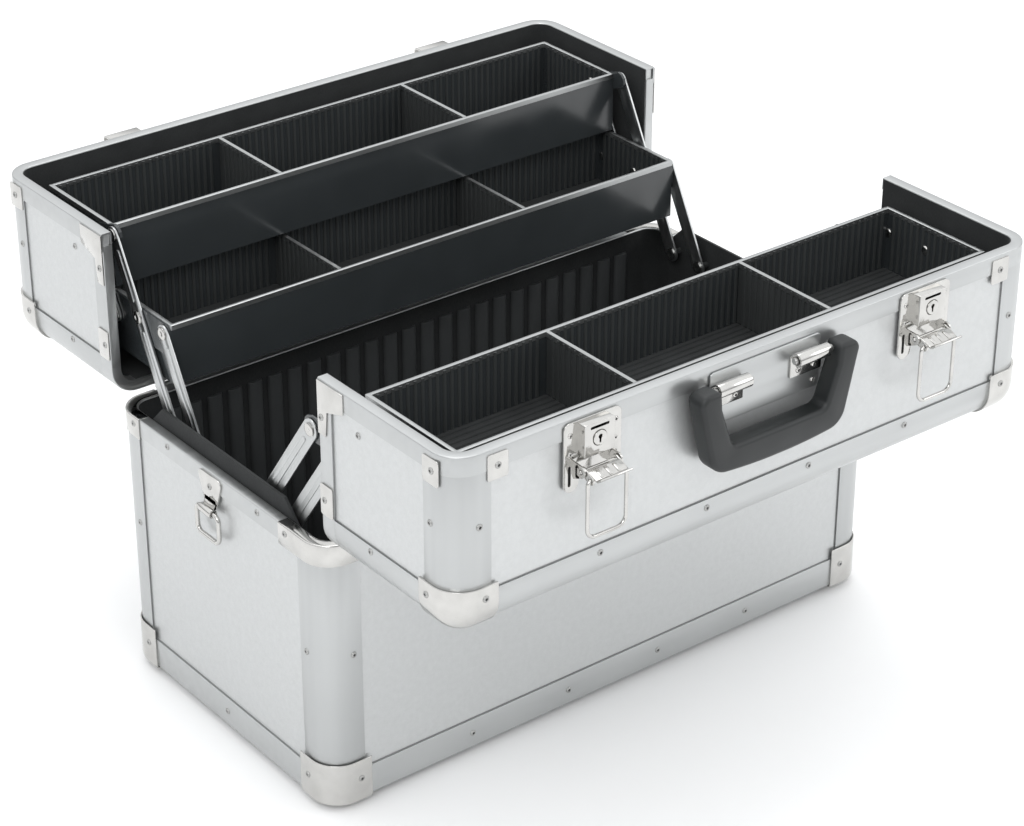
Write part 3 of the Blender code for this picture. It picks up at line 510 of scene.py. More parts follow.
def base_rivets():
    rivets = Rivets()
    foot_z, guard_z, waist_z, rim_z = 9.5 * MM, 14 * MM, 0.57 * BASE_TOP, BASE_TOP - 5 * MM
    inset, hinge_inset = 22 * MM, 37 * MM
    for side in (-1, 1):
        out = side * AXIS_Y
        for x in (-113, -37, 37, 113):
            rivets.add(Vector((x * MM, side * HALF_Y, foot_z)), out)
        for end in (-1, 1):
            for x, proud, z in ((RIVET_INSET, PROFILE_SINK, waist_z), (inset, GUARD_T, guard_z),
                                (inset, BRACE_T, rim_z)):
                rivets.add(Vector((end * (HALF_X - x), side * (HALF_Y + proud), z)), out)
    for end in (-1, 1):
        out = end * AXIS_X
        for y, z in ((0, foot_z), (-46, rim_z), (53, rim_z)):
            rivets.add(Vector((end * HALF_X, y * MM, z)), out)
        for side in (-1, 1):
            for proud, y, z in ((PROFILE_SINK, RIVET_INSET, waist_z), (GUARD_T, inset, guard_z),
                                (BRACE_T, hinge_inset if side < 0 else inset, rim_z)):
                rivets.add(Vector((end * (HALF_X + proud), side * (HALF_Y - y), z)), out)
    rivets.done("base", "base")


def seam_frame(seams, at, u0, u1, v0, v1, normal):
    """Four thin lines of painted shade round an area of panel, placed by a function of two coordinates."""
    for a, b in (((u0, v0), (u0, v1)), ((u1, v0), (u1, v1)), ((u0, v0), (u1, v0)), ((u0, v1), (u1, v1))):
        seams.wire([at(*a), at(*b)], normal, 0.35 * MM, sides=6)


def base_seams():
    """A thin dark strip of painted shade where each extrusion's edge lies on a panel, for the shade in that
    crevice.
    """
    seams = Solid()
    low, high = 19.9 * MM, BASE_TOP - RIM_BAND - 0.5 * MM
    x, y = HALF_X - STRIP_REACH - GAP, HALF_Y - STRIP_REACH - GAP
    for way in (-1, 1):
        seam_frame(seams, lambda u, z: Vector((u, way * (HALF_Y - PANEL_OUT), z)), -x, x, low, high, AXIS_Y)
        seam_frame(seams, lambda u, z: Vector((way * (HALF_X - PANEL_OUT), u, z)), -y, y, low, high, AXIS_X)
    seams.done("base_seam_lines", SEAM_SHADE, "base", "foot_rubber")


def base_lining():
    """Black cloth walls with broad padded flutes, and a floor mat."""
    walls, pads, floor = Solid(), Solid(), Solid()
    outer, inner = LINING_INSET, LINING_INSET + LINING_T
    low, high = FLOOR_TOP + 0.1 * MM, BASE_TOP - 1.2 * MM
    ring_of(walls, ((outer, low), (inner, low), (inner, high), (outer, high)))
    walls.done("base_lining_walls", LINING, "base", "tray_black")
    half, wall = (FLUTE_PITCH - FLUTE_GAP) / 2, HALF_Y - inner
    count = int(2 * (HALF_X - STRIP_REACH) / FLUTE_PITCH)
    for side in (-1, 1):
        for i in range(count):
            centre = (i - (count - 1) / 2) * FLUTE_PITCH
            section = [(centre + half * u * (1 - 0.12 * v), side * (wall - FLUTE_PROUD * v ** 0.6))
                       for u, v in arc(0, 0, 1, 0, 180, 6)]
            pads.loft([[Vector((x, y, z)) for x, y in section] for z in (low + 4 * MM, high - 12 * MM)])
    pads.soften(0.5 * MM, 2, 50).done("base_lining_flutes", FLUTE, "base", "tray_black")
    floor.prism(lambda x, y, z: Vector((x, y, z)), base_loop(inner + 0.1 * MM), low, low + 0.8 * MM)
    floor.done("base_floor_mat", LINING, "base", "tray_black")


def feet():
    for node in [f"foot_{side}_{end}" for end, _ in LEFT_RIGHT for side, _ in FRONT_BACK]:
        low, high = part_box(node)
        centre, r = (low + high) / 2, (high.x - low.x) / 2
        foot, h = Solid(), low.z
        foot.turned(Vector((centre.x, centre.y, 0)), AXIS_Z,
                    ((r, high.z), (r, 0.45 * h), (0.96 * r, 0.7 * h), (0.86 * r, 0.92 * h), (0.74 * r, h),
                     (0.45 * r, h), (0.4 * r, 0.7 * h), (0.2 * r, 0.62 * h)), 36)
        foot.done(f"rubber_{node}", RUBBER, "base", "foot_rubber", [node])


# ------------ hinges


def piano_hinge(name, side):
    """Leaves with many rolled knuckles, in turn on the base and on the lid, and a row of rivets in each."""
    place = across_lid(side)
    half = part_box(f"{name}_hinge_lid_leaf")[1].x
    roll, sheet, pin_hole = 1.7 * MM, 0.7 * MM, 0.8 * MM
    depth, start, reach = 1.0 * MM, 2.1 * MM, 15 * MM
    knuckles, rivet_count, rivet_pitch = 31, 9, 44 * MM
    pitch = 2 * half / knuckles
    base_fold, lid_fold = (lambda a, d: (-d, -a)), (lambda a, d: (a, d))
    for first, part, body, fold, normal in ((0, "base", "base", base_fold, side * AXIS_Y),
                                            (1, "lid", f"{name}_lid", lid_fold, -AXIS_Z)):
        leaf, rivets = Solid(), Rivets()
        flat = [(start, depth), (reach, depth), (reach, depth + sheet), (start, depth + sheet)]
        leaf.prism(place, [fold(*p) for p in flat], -half, half)
        curl = arc(0, 0, roll, 90, 396, 18)
        curl += [(4 * MM, depth + 0.05 * MM), (4 * MM, depth + sheet - 0.05 * MM)]
        for i in range(first, knuckles, 2):
            left = -half + pitch * i
            leaf.prism(place, [fold(*p) for p in curl], left + 0.1 * MM, left + pitch - 0.1 * MM,
                       [circle(0, 0, pin_hole, 12)])
        for i in range(rivet_count):
            along = (i - rivet_count // 2) * rivet_pitch
            rivets.add(place(*fold(10 * MM, depth), along), normal, 1.8 * MM)
        leaf.done(f"{name}_hinge_{part}_knuckles", ALONG["x"], body, "aluminium_profile",
                  [f"{name}_hinge_{part}_leaf"])
        rivets.done(f"{name}_hinge_{part}", body)
    pin = Solid()
    pin.turned(place(0, 0, -half), AXIS_X, ((0.7 * MM, 0), (0.7 * MM, 2 * half)), 12)
    pin.done(f"{name}_hinge_pin", RIVET, "base", "aluminium_profile")


# ------------ lids


def ball_corner(solid, end, place):
    """A plated cap round a lid's outer corner: three flat flaps joined by a ball."""
    centre, steps = EDGE_RADIUS, 6
    turns = [math.radians(45 * i / steps) for i in range(steps + 1)]
    stops = [centre - GUARD_REACH] + [centre * math.tan(turn) for turn in turns]
    cap = bmesh.new()
    for radius in (centre + PANEL_OUT, centre - 0.5 * MM):
        for axis in range(3):
            grid = []
            for p in stops:
                row = []
                for q in stops:
                    offset = Vector((0, 0, 0))
                    offset[axis], offset[(axis + 1) % 3], offset[(axis + 2) % 3] = centre, p, q
                    flat = Vector([min(o, 0) for o in offset])
                    at = flat + (offset - flat).normalized() * radius
                    row.append(cap.verts.new(place(end * (HALF_X - centre + at.x), LID_DEPTH - centre + at.y,
                                                   LID_FLOOR + centre - at.z)))
                grid.append(row)
            for before, row in zip(grid, grid[1:]):
                for i in range(1, len(row)):
                    cap.faces.new((before[i - 1], before[i], row[i], row[i - 1]))
    bmesh.ops.remove_doubles(cap, verts=cap.verts, dist=0.02 * MM)
    bmesh.ops.bridge_loops(cap, edges=[e for e in cap.edges if e.is_boundary])
    solid.absorb(cap)


def lid_edges(name, side):
    """Rounded extrusions along a lid's outer edges, two rim channels and plated ball corners."""
    place, section = in_lid(side), corner_section()
    under_guard = GUARD_REACH - 5 * MM
    long_x = HALF_X - under_guard
    lengths, returns, uprights = Solid(), Solid(), Solid()
    lengths.prism(lambda u, v, x: place(x, LID_DEPTH - u, LID_FLOOR + v), section, -long_x, long_x)
    caps = Solid()
    for end in (-1, 1):
        returns.prism(lambda u, v, out: place(end * (HALF_X - u), out, LID_FLOOR + v), section,
                      RIM_WIDTH, LID_DEPTH - under_guard)
        uprights.prism(lambda u, v, up: place(end * (HALF_X - u), LID_DEPTH - v, up), section,
                       LID_FLOOR + under_guard, LID_TOP - RIM_WIDTH)
        ball_corner(caps, end, place)
    parts = (lengths, "lower_edge", "x"), (returns, "end_edges", "y"), (uprights, "uprights", "z")
    for solid, part, axis in parts:
        solid.soften(0.2 * MM).done(f"{name}_{part}", ALONG[axis], name, "aluminium_profile")
    caps.soften(0.35 * MM, 3).done(f"{name}_ball_corners", NICKEL, name, "nickel_plate")
    rims = Solid()
    free, hinge = [], []
    for inset, down in rim_section():
        free.append([place(x, out, LID_TOP - down) for x, out in lid_track(GAP, LID_DEPTH, inset)])
        track = lid_track(LID_TOP - RIM_LIP - 0.5 * MM, LID_FLOOR, inset + 0.06 * MM)
        hinge.append([place(x, GAP + down, up) for x, up in track])
    for loops in (free, hinge):
        rims.loft(zip(*loops))
    rims.done(f"{name}_rim_channels", ALONG["x"], name, "aluminium_profile", [f"{name}_frame"])


def lid_lining(name, side):
    """A smooth black liner that covers the walls and floor, rounded where they meet."""
    place, start, bend = in_lid(side), 1.6 * MM, 6 * MM
    floor = LID_FLOOR + LINING_INSET
    levels = [(LINING_INSET, LID_TOP - 0.9 * MM)]
    for i in range(7):
        turn = math.radians(15 * i)
        levels.append((LINING_INSET + bend * (1 - math.cos(turn)), floor + bend * (1 - math.sin(turn))))
    rings = []
    for inset, up in levels:
        track = lid_track(start, LID_DEPTH, inset) + lid_track(start, LID_DEPTH, inset + LINING_T)[::-1]
        rings.append([place(x, out, up) for x, out in track])
    lining = Solid()
    lining.loft(rings)
    lining.prism(place, lid_track(start, LID_DEPTH, LINING_INSET + GAP), floor - LINING_T, floor + TOUCH)
    lining.done(f"{name}_lining", LINING, name, "tray_black")


def lid_fittings(name, side):
    """Braces at the rim's ends, tubular rivets along the edges and the seam lines of painted shade."""
    place = in_lid(side)
    braces, rivets, seams = Solid(), Rivets(), Solid()
    outward, down = side * AXIS_Y, -AXIS_Z
    face, sheet = LID_DEPTH, BRACE_T
    profile, guard = PROFILE_SINK, PANEL_OUT
    edge = STRIP_REACH + GAP
    reach, far, low, high = HALF_X - edge, face - edge, LID_FLOOR + edge, LID_TOP - RIM_BAND - 0.5 * MM
    for x in (-118, -39.5, 39.5, 118):
        rivets.add(place(x * MM, face + profile, 22.5 * MM), outward)
        rivets.add(place(x * MM, face - RIVET_INSET, LID_FLOOR - profile), down)
    hinge_brace = mm([(0.3, 80), (7.5, 80), (9, 96), (25, 101), (25, 113.6), (0.3, 113.6)])
    foot_brace = mm(rounded_rect(0.3, 28, 12, 48, 1.5))
    post_brace = mm(rounded_rect(98, 95, 112, 111, 1.5))
    for end in (-1, 1):
        at, out = across_lid(side, 0, end), end * AXIS_X
        for outline in (hinge_brace, foot_brace, post_brace):
            braces.prism(at, outline, HALF_X + TOUCH, HALF_X + sheet)
        plate = mm(rounded_rect(183, 96, 197, 112, 1.5))
        braces.prism(on_face(side), plate if end > 0 else mirrored(plate), face + TOUCH, face + sheet)
        rivets.add(place(end * 190 * MM, face + sheet, 104.5 * MM), outward)
        for spot in mm([(3.8, 91), (4.4, 38), (106, 103.5)]):
            rivets.add(at(*spot, HALF_X + sheet), out)
        rivets.add(at(36.5 * MM, 93 * MM, HALF_X - PANEL_OUT), out)
        rivets.add(at(47 * MM, 24.5 * MM, HALF_X + profile), out)
        rivets.add(at(face - RIVET_INSET, 70 * MM, HALF_X + profile), out)
        rivets.add(place(end * (HALF_X - 18 * MM), face + profile, 70 * MM), outward)
        rivets.add(place(end * (HALF_X - 21 * MM), face + guard, 24.5 * MM), outward)
        rivets.add(at(face - 23 * MM, 24 * MM, HALF_X + guard), out)
        rivets.add(place(end * (HALF_X - 23 * MM), face - 23 * MM, LID_FLOOR - guard), down)
        seam_frame(seams, lambda v, up: at(v, up, HALF_X - PANEL_OUT), 12.6 * MM, far, low, high, AXIS_X)
    seam_frame(seams, lambda x, up: place(x, face - PANEL_OUT, up), -reach, reach, low, high, AXIS_Y)
    seam_frame(seams, lambda x, v: place(x, v, LID_FLOOR + PANEL_OUT), -reach, reach, 15.6 * MM, far, AXIS_Z)
    braces.soften(0.22 * MM).done(f"{name}_braces", NICKEL, name, "nickel_plate")
    rivets.done(name, name)
    seams.done(f"{name}_seam_lines", SEAM_SHADE, name, "foot_rubber")


# ------------ trays


def tray_inside(name, side):
    """The inside of a tray as (out, up) corners, from the divider that fills it."""
    low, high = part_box(f"{name}_tray_divider_left")
    reach = sorted(side * y - HINGE_Y for y in (low.y, high.y))
    return (reach[0] - GAP, low.z - GAP - BASE_TOP), (reach[1] + GAP, high.z + MM - BASE_TOP)


def tray_details(name, side):
    """Fine ribs on the walls and dividers, metal edge strips, floor mats and rivets."""
    body, place = f"{name}_tray_body", in_lid(side)
    (out0, floor), (out1, top) = tray_inside(name, side)
    half_x, divider_x = TRAY_HALF_X - TRAY_WALL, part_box(f"{name}_tray_divider_right")
    split = (divider_x[0].x + divider_x[1].x) / 2
    relook(TRAY_GLOSS, f"{name}_tray")
    relook(TRAY_RIB, f"{name}_tray_divider_left", f"{name}_tray_divider_right")
    low, high = floor + 0.6 * MM, top - 1.2 * MM
    ribs, edges, mats, rivets = Solid(), Solid(), Solid(), Solid()
    rib = [(RIB_WIDTH / 2 * u, RIB_PROUD * v) for u, v in arc(0, 0, 1, 0, 180, 4)]

    def rib_row(reach, avoid, at):
        count = int(2 * reach / RIB_PITCH)
        for i in range(count):
            along = (i - (count - 1) / 2) * RIB_PITCH
            if all(abs(along - keep_off) > 2.6 * MM for keep_off in avoid):
                ribs.loft([[at(along + u, v, up) for u, v in rib] for up in (low, high)])

    middle, span = (out0 + out1) / 2, (out1 - out0) / 2 - 1.5 * MM
    for wall, inward in ((out0, 1), (out1, -1)):
        rib_row(half_x - 2 * MM, (-split, split), lambda u, v, up: place(u, wall + inward * (v - TOUCH), up))
    faces = [(-half_x, 1), (half_x, -1)]
    for x in (-split, split):
        faces += [(x - DIVIDER_T / 2, -1), (x + DIVIDER_T / 2, 1)]
    for x, inward in faces:
        rib_row(span, (), lambda u, v, up: place(x + inward * (v - TOUCH), middle + u, up))
    ribs.done(f"{name}_tray_ribs", TRAY_RIB, body, "tray_black")

    strip = [(-0.35, -3), (-0.35, 0.1), (0, 0.35), (2, 0.35), (2.35, 0.1), (2.35, -3), (2.05, -3), (2.05, 0),
             (-0.05, 0), (-0.05, -3)]
    loops = []
    for inset, up in mm(strip, (0, top)):
        u, v0, v1 = TRAY_HALF_X - inset, out0 - TRAY_WALL + inset, out1 + TRAY_WALL - inset
        loops.append([place(x, out, up) for x, out in rounded_rect(-u, v0, u, v1, 0.6 * MM, 2)])
    edges.loft(zip(*loops), wrap=True)
    cap = mm([(-1.25, -2.2), (-1.25, 0.9), (-0.8, 1.3), (0.8, 1.3), (1.25, 0.9), (1.25, -2.2), (0.85, -2.2),
              (0.85, 0.05), (-0.85, 0.05), (-0.85, -2.2)])
    for x in (-split, split):
        edges.prism(lambda u, v, out: place(x + u, out, top - MM + v), cap, out0 + GAP, out1 - GAP)
    edges.done(f"{name}_tray_edge_strips", EDGE_METAL, body, "zinc_steel")

    for x0, x1 in ((-half_x, -split), (-split, split), (split, half_x)):
        outline = rounded_rect(x0 + 1.5 * MM, out0 + MM, x1 - 1.5 * MM, out1 - MM, 2 * MM)
        mats.prism(place, outline, floor - GAP + 0.05 * MM, floor + 0.5 * MM)
        for i in range(int(2 * span / RIB_PITCH)):
            out = middle - span + RIB_PITCH * (i + 0.5)
            ends = x0 + 2.5 * MM, x1 - 2.5 * MM
            mats.loft([[place(x, out + u, floor + 0.48 * MM + v) for u, v in rib] for x in ends])
    mats.done(f"{name}_tray_mats", LINING, body, "tray_black")

    spots = {"front": [(21.7, 88.5), (54.2, 88.5)], "middle": [(-5, 43.5), (29, 43.5)],
             "upper": [(43.5, 95.5)]}
    dome = mm([(3.1, -0.1), (3.1, 0.25), (2.8, 0.7), (2.0, 1.05), (0.9, 1.15), (0.3, 1.15)])
    for end in (-1, 1):
        for spot in mm(spots[name]):
            rivets.turned(place(end * half_x, *spot), -end * AXIS_X, dome)
    rivets.done(f"{name}_tray_end_rivets", NICKEL, body, "nickel_plate")


# ------------ arms


def pivot(joint):
    """A joint as (distance from the middle of the case, up from the hinges)."""
    at = JOINTS[joint]
    return abs(at.y), at.z - BASE_TOP


def past(point, along, up=0.0):
    return point[0] + along, point[1] + up


def beside(side, end):
    """For outlines in pivot() coordinates that are extruded outward along X."""
    return lambda y, up, x: Vector((end * x, side * y, BASE_TOP + up))


def arm_pair(name, side, body, width, *pivots):
    """The same pressed bar at both ends of the case, with a raised bead between its pivot holes."""
    start, far = pivots[0], pivots[-1]
    low, high = (corner.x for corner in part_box(f"{name}_right"))
    length = math.dist(start, far)
    heading = ((far[0] - start[0]) / length, (far[1] - start[1]) / length)
    stops = sorted(math.dist(start, p) for p in pivots)
    for end_name, end in LEFT_RIGHT:
        at, bar = beside(side, end), Solid()
        bar.prism(at, bar_outline(start, far, width), low, high, [circle(*p, 2.5 * MM) for p in pivots])
        bar.soften(0.3 * MM)
        for near, next_stop in zip(stops, stops[1:]):
            a, b = near + 11 * MM, next_stop - 11 * MM
            bead, points = Solid(), [(start[0] + heading[0] * s, start[1] + heading[1] * s) for s in (a, b)]
            bead.prism(at, bar_outline(*points, 3.4 * MM, 8), high - 0.3 * MM, high + 0.5 * MM)
            bar.absorb(bead.soften(0.35 * MM, 3).bm)
        bar.done(f"{name}_bar_{end_name}", STRIP_STEEL, body, "zinc_steel", [f"{name}_{end_name}"])


def pin_caps(name, side, body, face, away, *pivots):
    """Silver domes over the pins' black heads. They face away from the case's middle, or toward it."""
    dome = mm([(4.25, 0), (4.25, 0.85), (3.9, 1.1), (3.0, 1.28), (1.7, 1.35), (1.4, 1.15), (0.4, 1.15)])
    caps = Solid()
    for end in (-1, 1):
        for at in pivots:
            caps.turned(beside(side, end)(*at, face), away * end * AXIS_X, dome)
    caps.done(f"{name}_pin_caps", NICKEL, body, "nickel_plate")


def linkages():
    front_rear, tray = pivot("front_rear_arm_pivot"), pivot("front_tray_pivot")
    front_fore = pivot("front_fore_arm_pivot")
    spacing = front_fore[0] - front_rear[0]
    arm_pair("front_rear_arm", -1, "front_rear_arms", 13 * MM, front_rear, tray)
    arm_pair("front_fore_arm", -1, "front_fore_arms", 13 * MM, front_fore, past(tray, spacing))
    long_base, short_base = pivot("back_long_arm_pivot"), pivot("back_short_arm_pivot")
    middle, upper, link = pivot("middle_tray_pivot"), pivot("upper_tray_pivot"), pivot("tray_link_pivot")
    short_top = past(middle, short_base[0] - long_base[0])
    link_top = past(upper, link[0] - middle[0], link[1] - middle[1])
    arm_pair("back_long_arm", 1, "back_long_arms", 11 * MM, long_base, middle, upper)
    arm_pair("back_short_arm", 1, "back_short_arms", 11 * MM, short_base, short_top)
    arm_pair("tray_link", 1, "tray_links", 11 * MM, link, link_top)
    front_arm, back_arm = (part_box(f"{arm}_right") for arm in ("front_rear_arm", "tray_link"))
    clear = 0.1 * MM
    pin_caps("front_tray", -1, "front_tray_body", front_arm[1].x + clear, 1, tray, past(tray, spacing))
    pin_caps("middle_tray", 1, "middle_tray_body", back_arm[1].x + clear, 1, middle, short_top, link)
    pin_caps("upper_tray", 1, "upper_tray_body", back_arm[1].x + clear, 1, upper, link_top)
    pin_caps("front_mount", -1, "base", front_arm[0].x - clear, -1, front_rear, front_fore)
    pin_caps("back_mount", 1, "base", back_arm[0].x - clear, -1, long_base, short_base)
    # The arm mounts carry the arms' lower pins; their matt black also stands in for the shade inside the
    # base where the arms' lower ends fall.
    relook(LINING, "arm_mount_left", "arm_mount_right")


# ------------ latches and handle


def bent_sheet(path, thickness):
    """The outline of bent sheet, from its centre line."""
    one, other = [], []
    for i, (u, v) in enumerate(path):
        (u0, v0), (u1, v1) = path[max(i - 1, 0)], path[min(i + 1, len(path) - 1)]
        run = math.dist((u0, v0), (u1, v1))
        du, dv = (v0 - v1) / run * thickness / 2, (u1 - u0) / run * thickness / 2
        one.append((u + du, v + dv))
        other.append((u - du, v - dv))
    return one + other[::-1]


def latch(name, end):
    """A slotted plate with a raised lock box, its keyed cylinder, a bent lever and a wire bail."""
    low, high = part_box(f"latch_plate_{name}")
    x0, body = (low.x + high.x) / 2, "front_lid"
    lever_at, bail_at = ((-p.y - HINGE_Y, p.z - BASE_TOP)
                         for p in (JOINTS[f"latch_lever_{name}_pivot"], JOINTS[f"latch_bail_{name}_pivot"]))
    back, front = LID_DEPTH + GAP, LID_DEPTH + FITTING_T
    face, across = on_face(-1, x0), across_lid(-1, x0)
    key_up = JOINTS[f"lock_cylinder_{name}_turn"].z - BASE_TOP

    plate, rivets, shade_plates = Solid(), Rivets(), Solid()
    right = mm([(9.5, 80), *arc(14.75, 75.25, 5.25, 180, 360, 12), *arc(16, 109, 4, 0, 90, 6)])
    slot = mm(rounded_rect(15.1, 74, 17.1, 86.5, 0.95, 4))
    plate.prism(face, right + mirrored(right), back, front, [slot, mirrored(slot)])
    case = mm(rounded_rect(-10.5, 92, 10.5, 112, 0.8, 3))
    mouth = mm(rounded_rect(-6.5, 108.4, 6.5, 110, 0.75, 3))
    plate.prism(face, case, front - GAP, front + 6 * MM, [circle(0, key_up, 4.85 * MM, 28), mouth])
    ear = (arc(*lever_at, 3.6 * MM, -60, 90, 10)
           + [(front - GAP, lever_at[1] + 4 * MM), (front - GAP, lever_at[1] - 7 * MM)])
    for ear_x in (-13.5 * MM, 12.3 * MM):
        plate.prism(across, ear, ear_x, ear_x + 1.2 * MM, [circle(*lever_at, 1.5 * MM, 14)])
    plate.soften(0.4 * MM, 3)
    plate.done(f"latch_base_{name}", NICKEL, body, "nickel_plate", [f"latch_plate_{name}"])
    # Painted shade: near-black plates behind the plate's slots and at the floor of the lock box, seen
    # through the slots and the mouth.
    strip, box = mm(rounded_rect(11.5, 72.5, 18.5, 88, 1)), mm(rounded_rect(-9.5, 93.5, 9.5, 111, 1))
    for outline in (mirrored(strip), strip):
        shade_plates.prism(face, outline, LID_DEPTH - PROFILE_IN, back - 0.1 * MM)
    shade_plates.prism(face, box, front - 0.1 * MM, front + 0.5 * MM)
    shade_plates.done(f"latch_painted_shade_{name}", MANDRELS_AND_SHADE, body, "black_steel")
    for x in (-15.8, 15.8):
        rivets.add(face(x * MM, 105.5 * MM, front), -AXIS_Y, 1.7 * MM)
        rivets.add(face(x * MM, 94 * MM, front), -AXIS_Y, 1.4 * MM)
    rivets.done(f"latch_{name}", body, NICKEL)

    barrel, dark_core = Solid(), Solid()
    keyhole = mm([*arc(0, 0.9, 1.3, -60, 240, 12), (-0.65, -2.9), (0.65, -2.9)], (0, key_up))
    barrel.prism(face, circle(0, key_up, 4.6 * MM, 32), front + 2.5 * MM, front + 6.6 * MM, [keyhole])
    barrel.soften(0.4 * MM, 3).done(f"lock_barrel_{name}", NICKEL, f"cylinder_{name}", "nickel_plate",
                                    [f"lock_cylinder_{name}"])
    # Painted shade: a near-black disc under the barrel, seen through the keyhole as the keyway's shade.
    dark_core.turned(face(0, key_up, front + 0.7 * MM), -AXIS_Y, mm([(4.4, 0), (4.4, 2.1), (3.9, 2.6)]))
    dark_core.done(f"lock_keyway_shade_{name}", MANDRELS_AND_SHADE, f"cylinder_{name}", "black_steel")

    lever = Solid()
    cheek = bar_outline(lever_at, bail_at, 5.4 * MM, 10)
    eye = circle(*bail_at, 1.6 * MM, 16)
    for cheek_x in (-12 * MM, 10.6 * MM):
        lever.prism(across, cheek, cheek_x, cheek_x + 1.4 * MM, [eye])
    tongue = [(-4.6, 4.3), (-2.4, 3.5), (0, 2.75), (2.2, 2), (3.6, 1.35), (4.7, 1.15), (5.8, 1.6),
              (6.9, 2.5), (8.1, 3.6)]
    lever.prism(across, mm(bent_sheet(tongue, 1.2), bail_at), -11.2 * MM, 11.2 * MM)
    ridge = mm(bent_sheet([(u, v + 0.5) for u, v in tongue[1:5]], 1.0), bail_at)
    for rib_x in (-6, 0, 6):
        lever.prism(across, ridge, (rib_x - 1.3) * MM, (rib_x + 1.3) * MM)
    lever.soften(0.3 * MM)
    pin = mm([(0.8, 0), (1.15, 0.4), (1.15, 27.4), (0.8, 27.8)])
    lever.turned(across(*lever_at, -13.9 * MM), AXIS_X, pin, 16)
    lever.done(f"latch_tongue_{name}", NICKEL, f"lever_{name}", "nickel_plate", [f"latch_lever_{name}"])

    half, end_x, corner, turn_in, lowest = 13.6 * MM, 9.4 * MM, 6 * MM, 2.4 * MM, 46 * MM
    right = arc(half - corner, lowest + corner, corner, 270, 360, 10)
    right += arc(half - turn_in, bail_at[1] - turn_in, turn_in, 0, 90, 6) + [(end_x, bail_at[1])]
    bail = Solid()
    bail.wire([face(u, v, bail_at[0]) for u, v in mirrored(right) + right], AXIS_Y, 1.2 * MM, sides=14)
    bail.done(f"latch_wire_{name}", NICKEL, f"bail_{name}", "nickel_plate", [f"latch_bail_{name}"])

    catch, studs = Solid(), Rivets()
    back, front = back + 0.6 * MM, LID_DEPTH + 12.1 * MM
    bend = 2.4 * MM
    bend_up = 111.9 * MM - bend
    hook = ([(back, 92 * MM)] + arc(back + bend, bend_up, bend, 180, 90, 6)
            + arc(front - bend, bend_up, bend, 90, 0, 6) + [(front, 106.5 * MM)])
    catch.prism(across_lid(1, x0), bent_sheet(hook, 1.2 * MM), -12 * MM, 12 * MM)
    catch.soften(0.3 * MM)
    catch.done(f"latch_hook_{name}", NICKEL, "back_lid", "nickel_plate", [f"latch_catch_{name}"])
    for x in (-7, 7):
        studs.add(on_face(1, x0)(x * MM, 97 * MM, LID_DEPTH + FITTING_T), AXIS_Y, 1.7 * MM)
    studs.done(f"latch_hook_{name}", "back_lid", NICKEL)


def handle():
    """A thick moulded loop on two pins, held by rolled clips on a satin plate."""
    joint = JOINTS["handle_pivot"]
    at = (-joint.y - HINGE_Y, joint.z - BASE_TOP)
    low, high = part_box("handle_grip")
    back, front = -high.y - HINGE_Y, -low.y - HINGE_Y
    face = on_face(-1)
    outer = mm([(45, 106), *arc(54, 100, 6, 90, 0, 8), *arc(38, 66.5, 14, -12, -84, 14),
                *arc(0, 428, 377.5, -85, -89, 4)])
    inner = mm([*arc(31, 74.5, 6, -90, -12, 10), (44, 94)])
    loop = outer + mirrored(outer) + mirrored(inner)[:-1] + inner[1:]
    grip = Solid()
    grip.prism(face, loop, back, front)
    grip.soften(3 * MM, 5, 32)
    grip.done("handle_loop", GRIP, "handle", "grip_plastic", ["handle_grip"])
    pins, clips, plate, rivets = Solid(), Solid(), Solid(), Rivets()
    plate_back, plate_front = LID_DEPTH + GAP, LID_DEPTH + FITTING_T
    plate.prism(face, mm(rounded_rect(-42, 76, 42, 110, 3)), plate_back, plate_front)
    flat = plate_front + 0.6 * MM
    curl = [(flat, 88 * MM), (flat, at[1] + 0.5 * MM)] + arc(*at, 3.5 * MM, 125, -100, 16)
    for end in (-1, 1):
        across = across_lid(-1, 0, end)
        pins.turned(across(*at, 16 * MM), end * AXIS_X, mm([(1.8, 0), (2.2, 0.4), (2.2, 34)]), 20)
        clips.prism(across, bent_sheet(curl, 1.3 * MM), 18 * MM, 42 * MM)
        for along in (24, 36):
            rivets.add(face(end * along * MM, 92 * MM, plate_front + 1.2 * MM), -AXIS_Y, 1.9 * MM)
        rivets.add(face(end * 37 * MM, 81 * MM, plate_front), -AXIS_Y, 1.7 * MM)
    pins.done("handle_pins", RIVET, "handle", "zinc_steel")
    plate.soften(0.35 * MM, 3)
    plate.done("handle_plate", ALONG["x"], "front_lid", "nickel_plate", ["handle_bracket"])
    clips.soften(0.3 * MM).done("handle_clips", NICKEL, "front_lid", "nickel_plate")
    rivets.done("handle", "front_lid", NICKEL)


# ------------ assembly


base_edges()
strap_ring_mounts()
base_rivets()
base_seams()
base_lining()
feet()
for hinge_name, hinge_side in FRONT_BACK:
    piano_hinge(hinge_name, hinge_side)
for lid, lid_side in LIDS:
    lid_edges(lid, lid_side)
    lid_lining(lid, lid_side)
    lid_fittings(lid, lid_side)
for tray_name, tray_side in (("front", -1), ("middle", 1), ("upper", 1)):
    tray_details(tray_name, tray_side)
linkages()
for latch_name, latch_end in LEFT_RIGHT:
    latch(latch_name, latch_end)
handle()
relook(SHEET, *[name for name in frame["nodes"] if name.endswith("_panel")])


# ------------ floor, light and camera


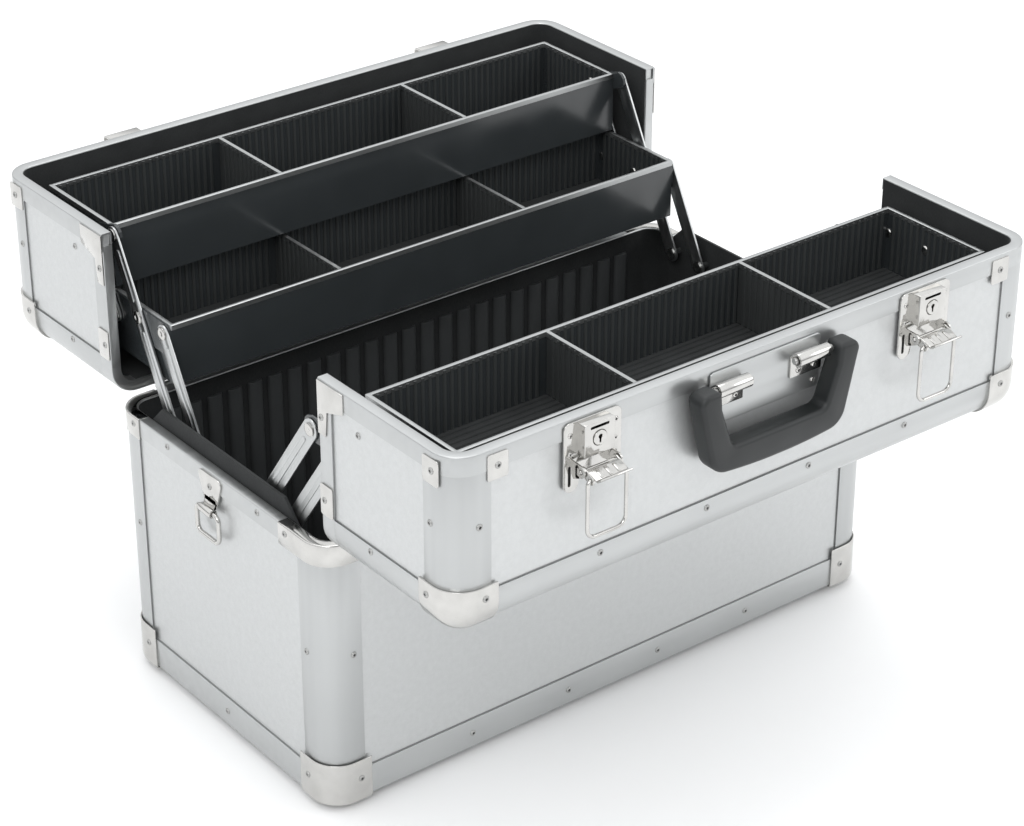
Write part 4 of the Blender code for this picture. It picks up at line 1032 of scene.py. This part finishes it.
def area_light(name, at, toward, size, power, colour=(1, 1, 1)):
    lamp = bpy.data.lights.new(name, "AREA")
    lamp.shape, lamp.size, lamp.energy, lamp.color = "DISK", size, power, colour
    placed = bpy.data.objects.new(name, lamp)
    placed.location = at
    placed.rotation_euler = (Vector(toward) - Vector(at)).to_track_quat("-Z", "Y").to_euler()
    bpy.context.scene.collection.objects.link(placed)


def studio():
    scene = bpy.context.scene
    paper = Look("studio_paper", (0.93, 0.93, 0.93), 0.0, 0.9)
    paper.shaded(paper.noise(3), 0.99, 1.0)
    ground = bmesh.new()
    bmesh.ops.create_grid(ground, x_segments=4, y_segments=4, size=20)
    bmesh.ops.translate(ground, verts=ground.verts, vec=(0, 0, cad_box[0][2] - 0.2 * MM))
    mesh = bpy.data.meshes.new("studio_floor")
    ground.to_mesh(mesh)
    ground.free()
    mesh.materials.append(paper.material)
    floor = bpy.data.objects.new("studio_floor", mesh)
    scene.collection.objects.link(floor)

    world = bpy.data.worlds.new("studio_world")
    world.use_nodes = True
    tree = world.node_tree
    aim = tree.nodes.new("ShaderNodeSeparateXYZ")
    tree.links.new(tree.nodes.new("ShaderNodeTexCoord").outputs["Generated"], aim.inputs["Vector"])
    dome = tree.nodes.new("ShaderNodeMapRange")
    for socket, value in (("From Min", 0.0), ("From Max", 0.5), ("To Min", 0.35), ("To Max", 1.35)):
        dome.inputs[socket].default_value = value
    tree.links.new(aim.outputs["Z"], dome.inputs["Value"])
    tree.nodes["Background"].inputs["Color"].default_value = (0.98, 0.99, 1.0, 1)
    tree.links.new(dome.outputs["Result"], tree.nodes["Background"].inputs["Strength"])
    scene.world = world
    area_light("key", (-1.6, -1.3, 2.0), (0, 0, 0.15), 1.1, 13)
    area_light("top", (0.2, 0.5, 2.4), (0, 0, 0.2), 1.5, 10)
    area_light("fill", (1.8, -1.6, 1.2), (0, 0, 0.15), 1.4, 7)
    scene.view_settings.view_transform = "Standard"

    camera = bpy.data.cameras.new("camera")
    camera.lens, camera.sensor_width = CAMERA_LENS, CAMERA_SENSOR
    view = bpy.data.objects.new("camera", camera)
    view.location = CAMERA_AT
    view.rotation_euler = (math.radians(CAMERA_TILT), 0, math.radians(CAMERA_HEADING))
    scene.collection.objects.link(view)
    scene.camera = view


studio()
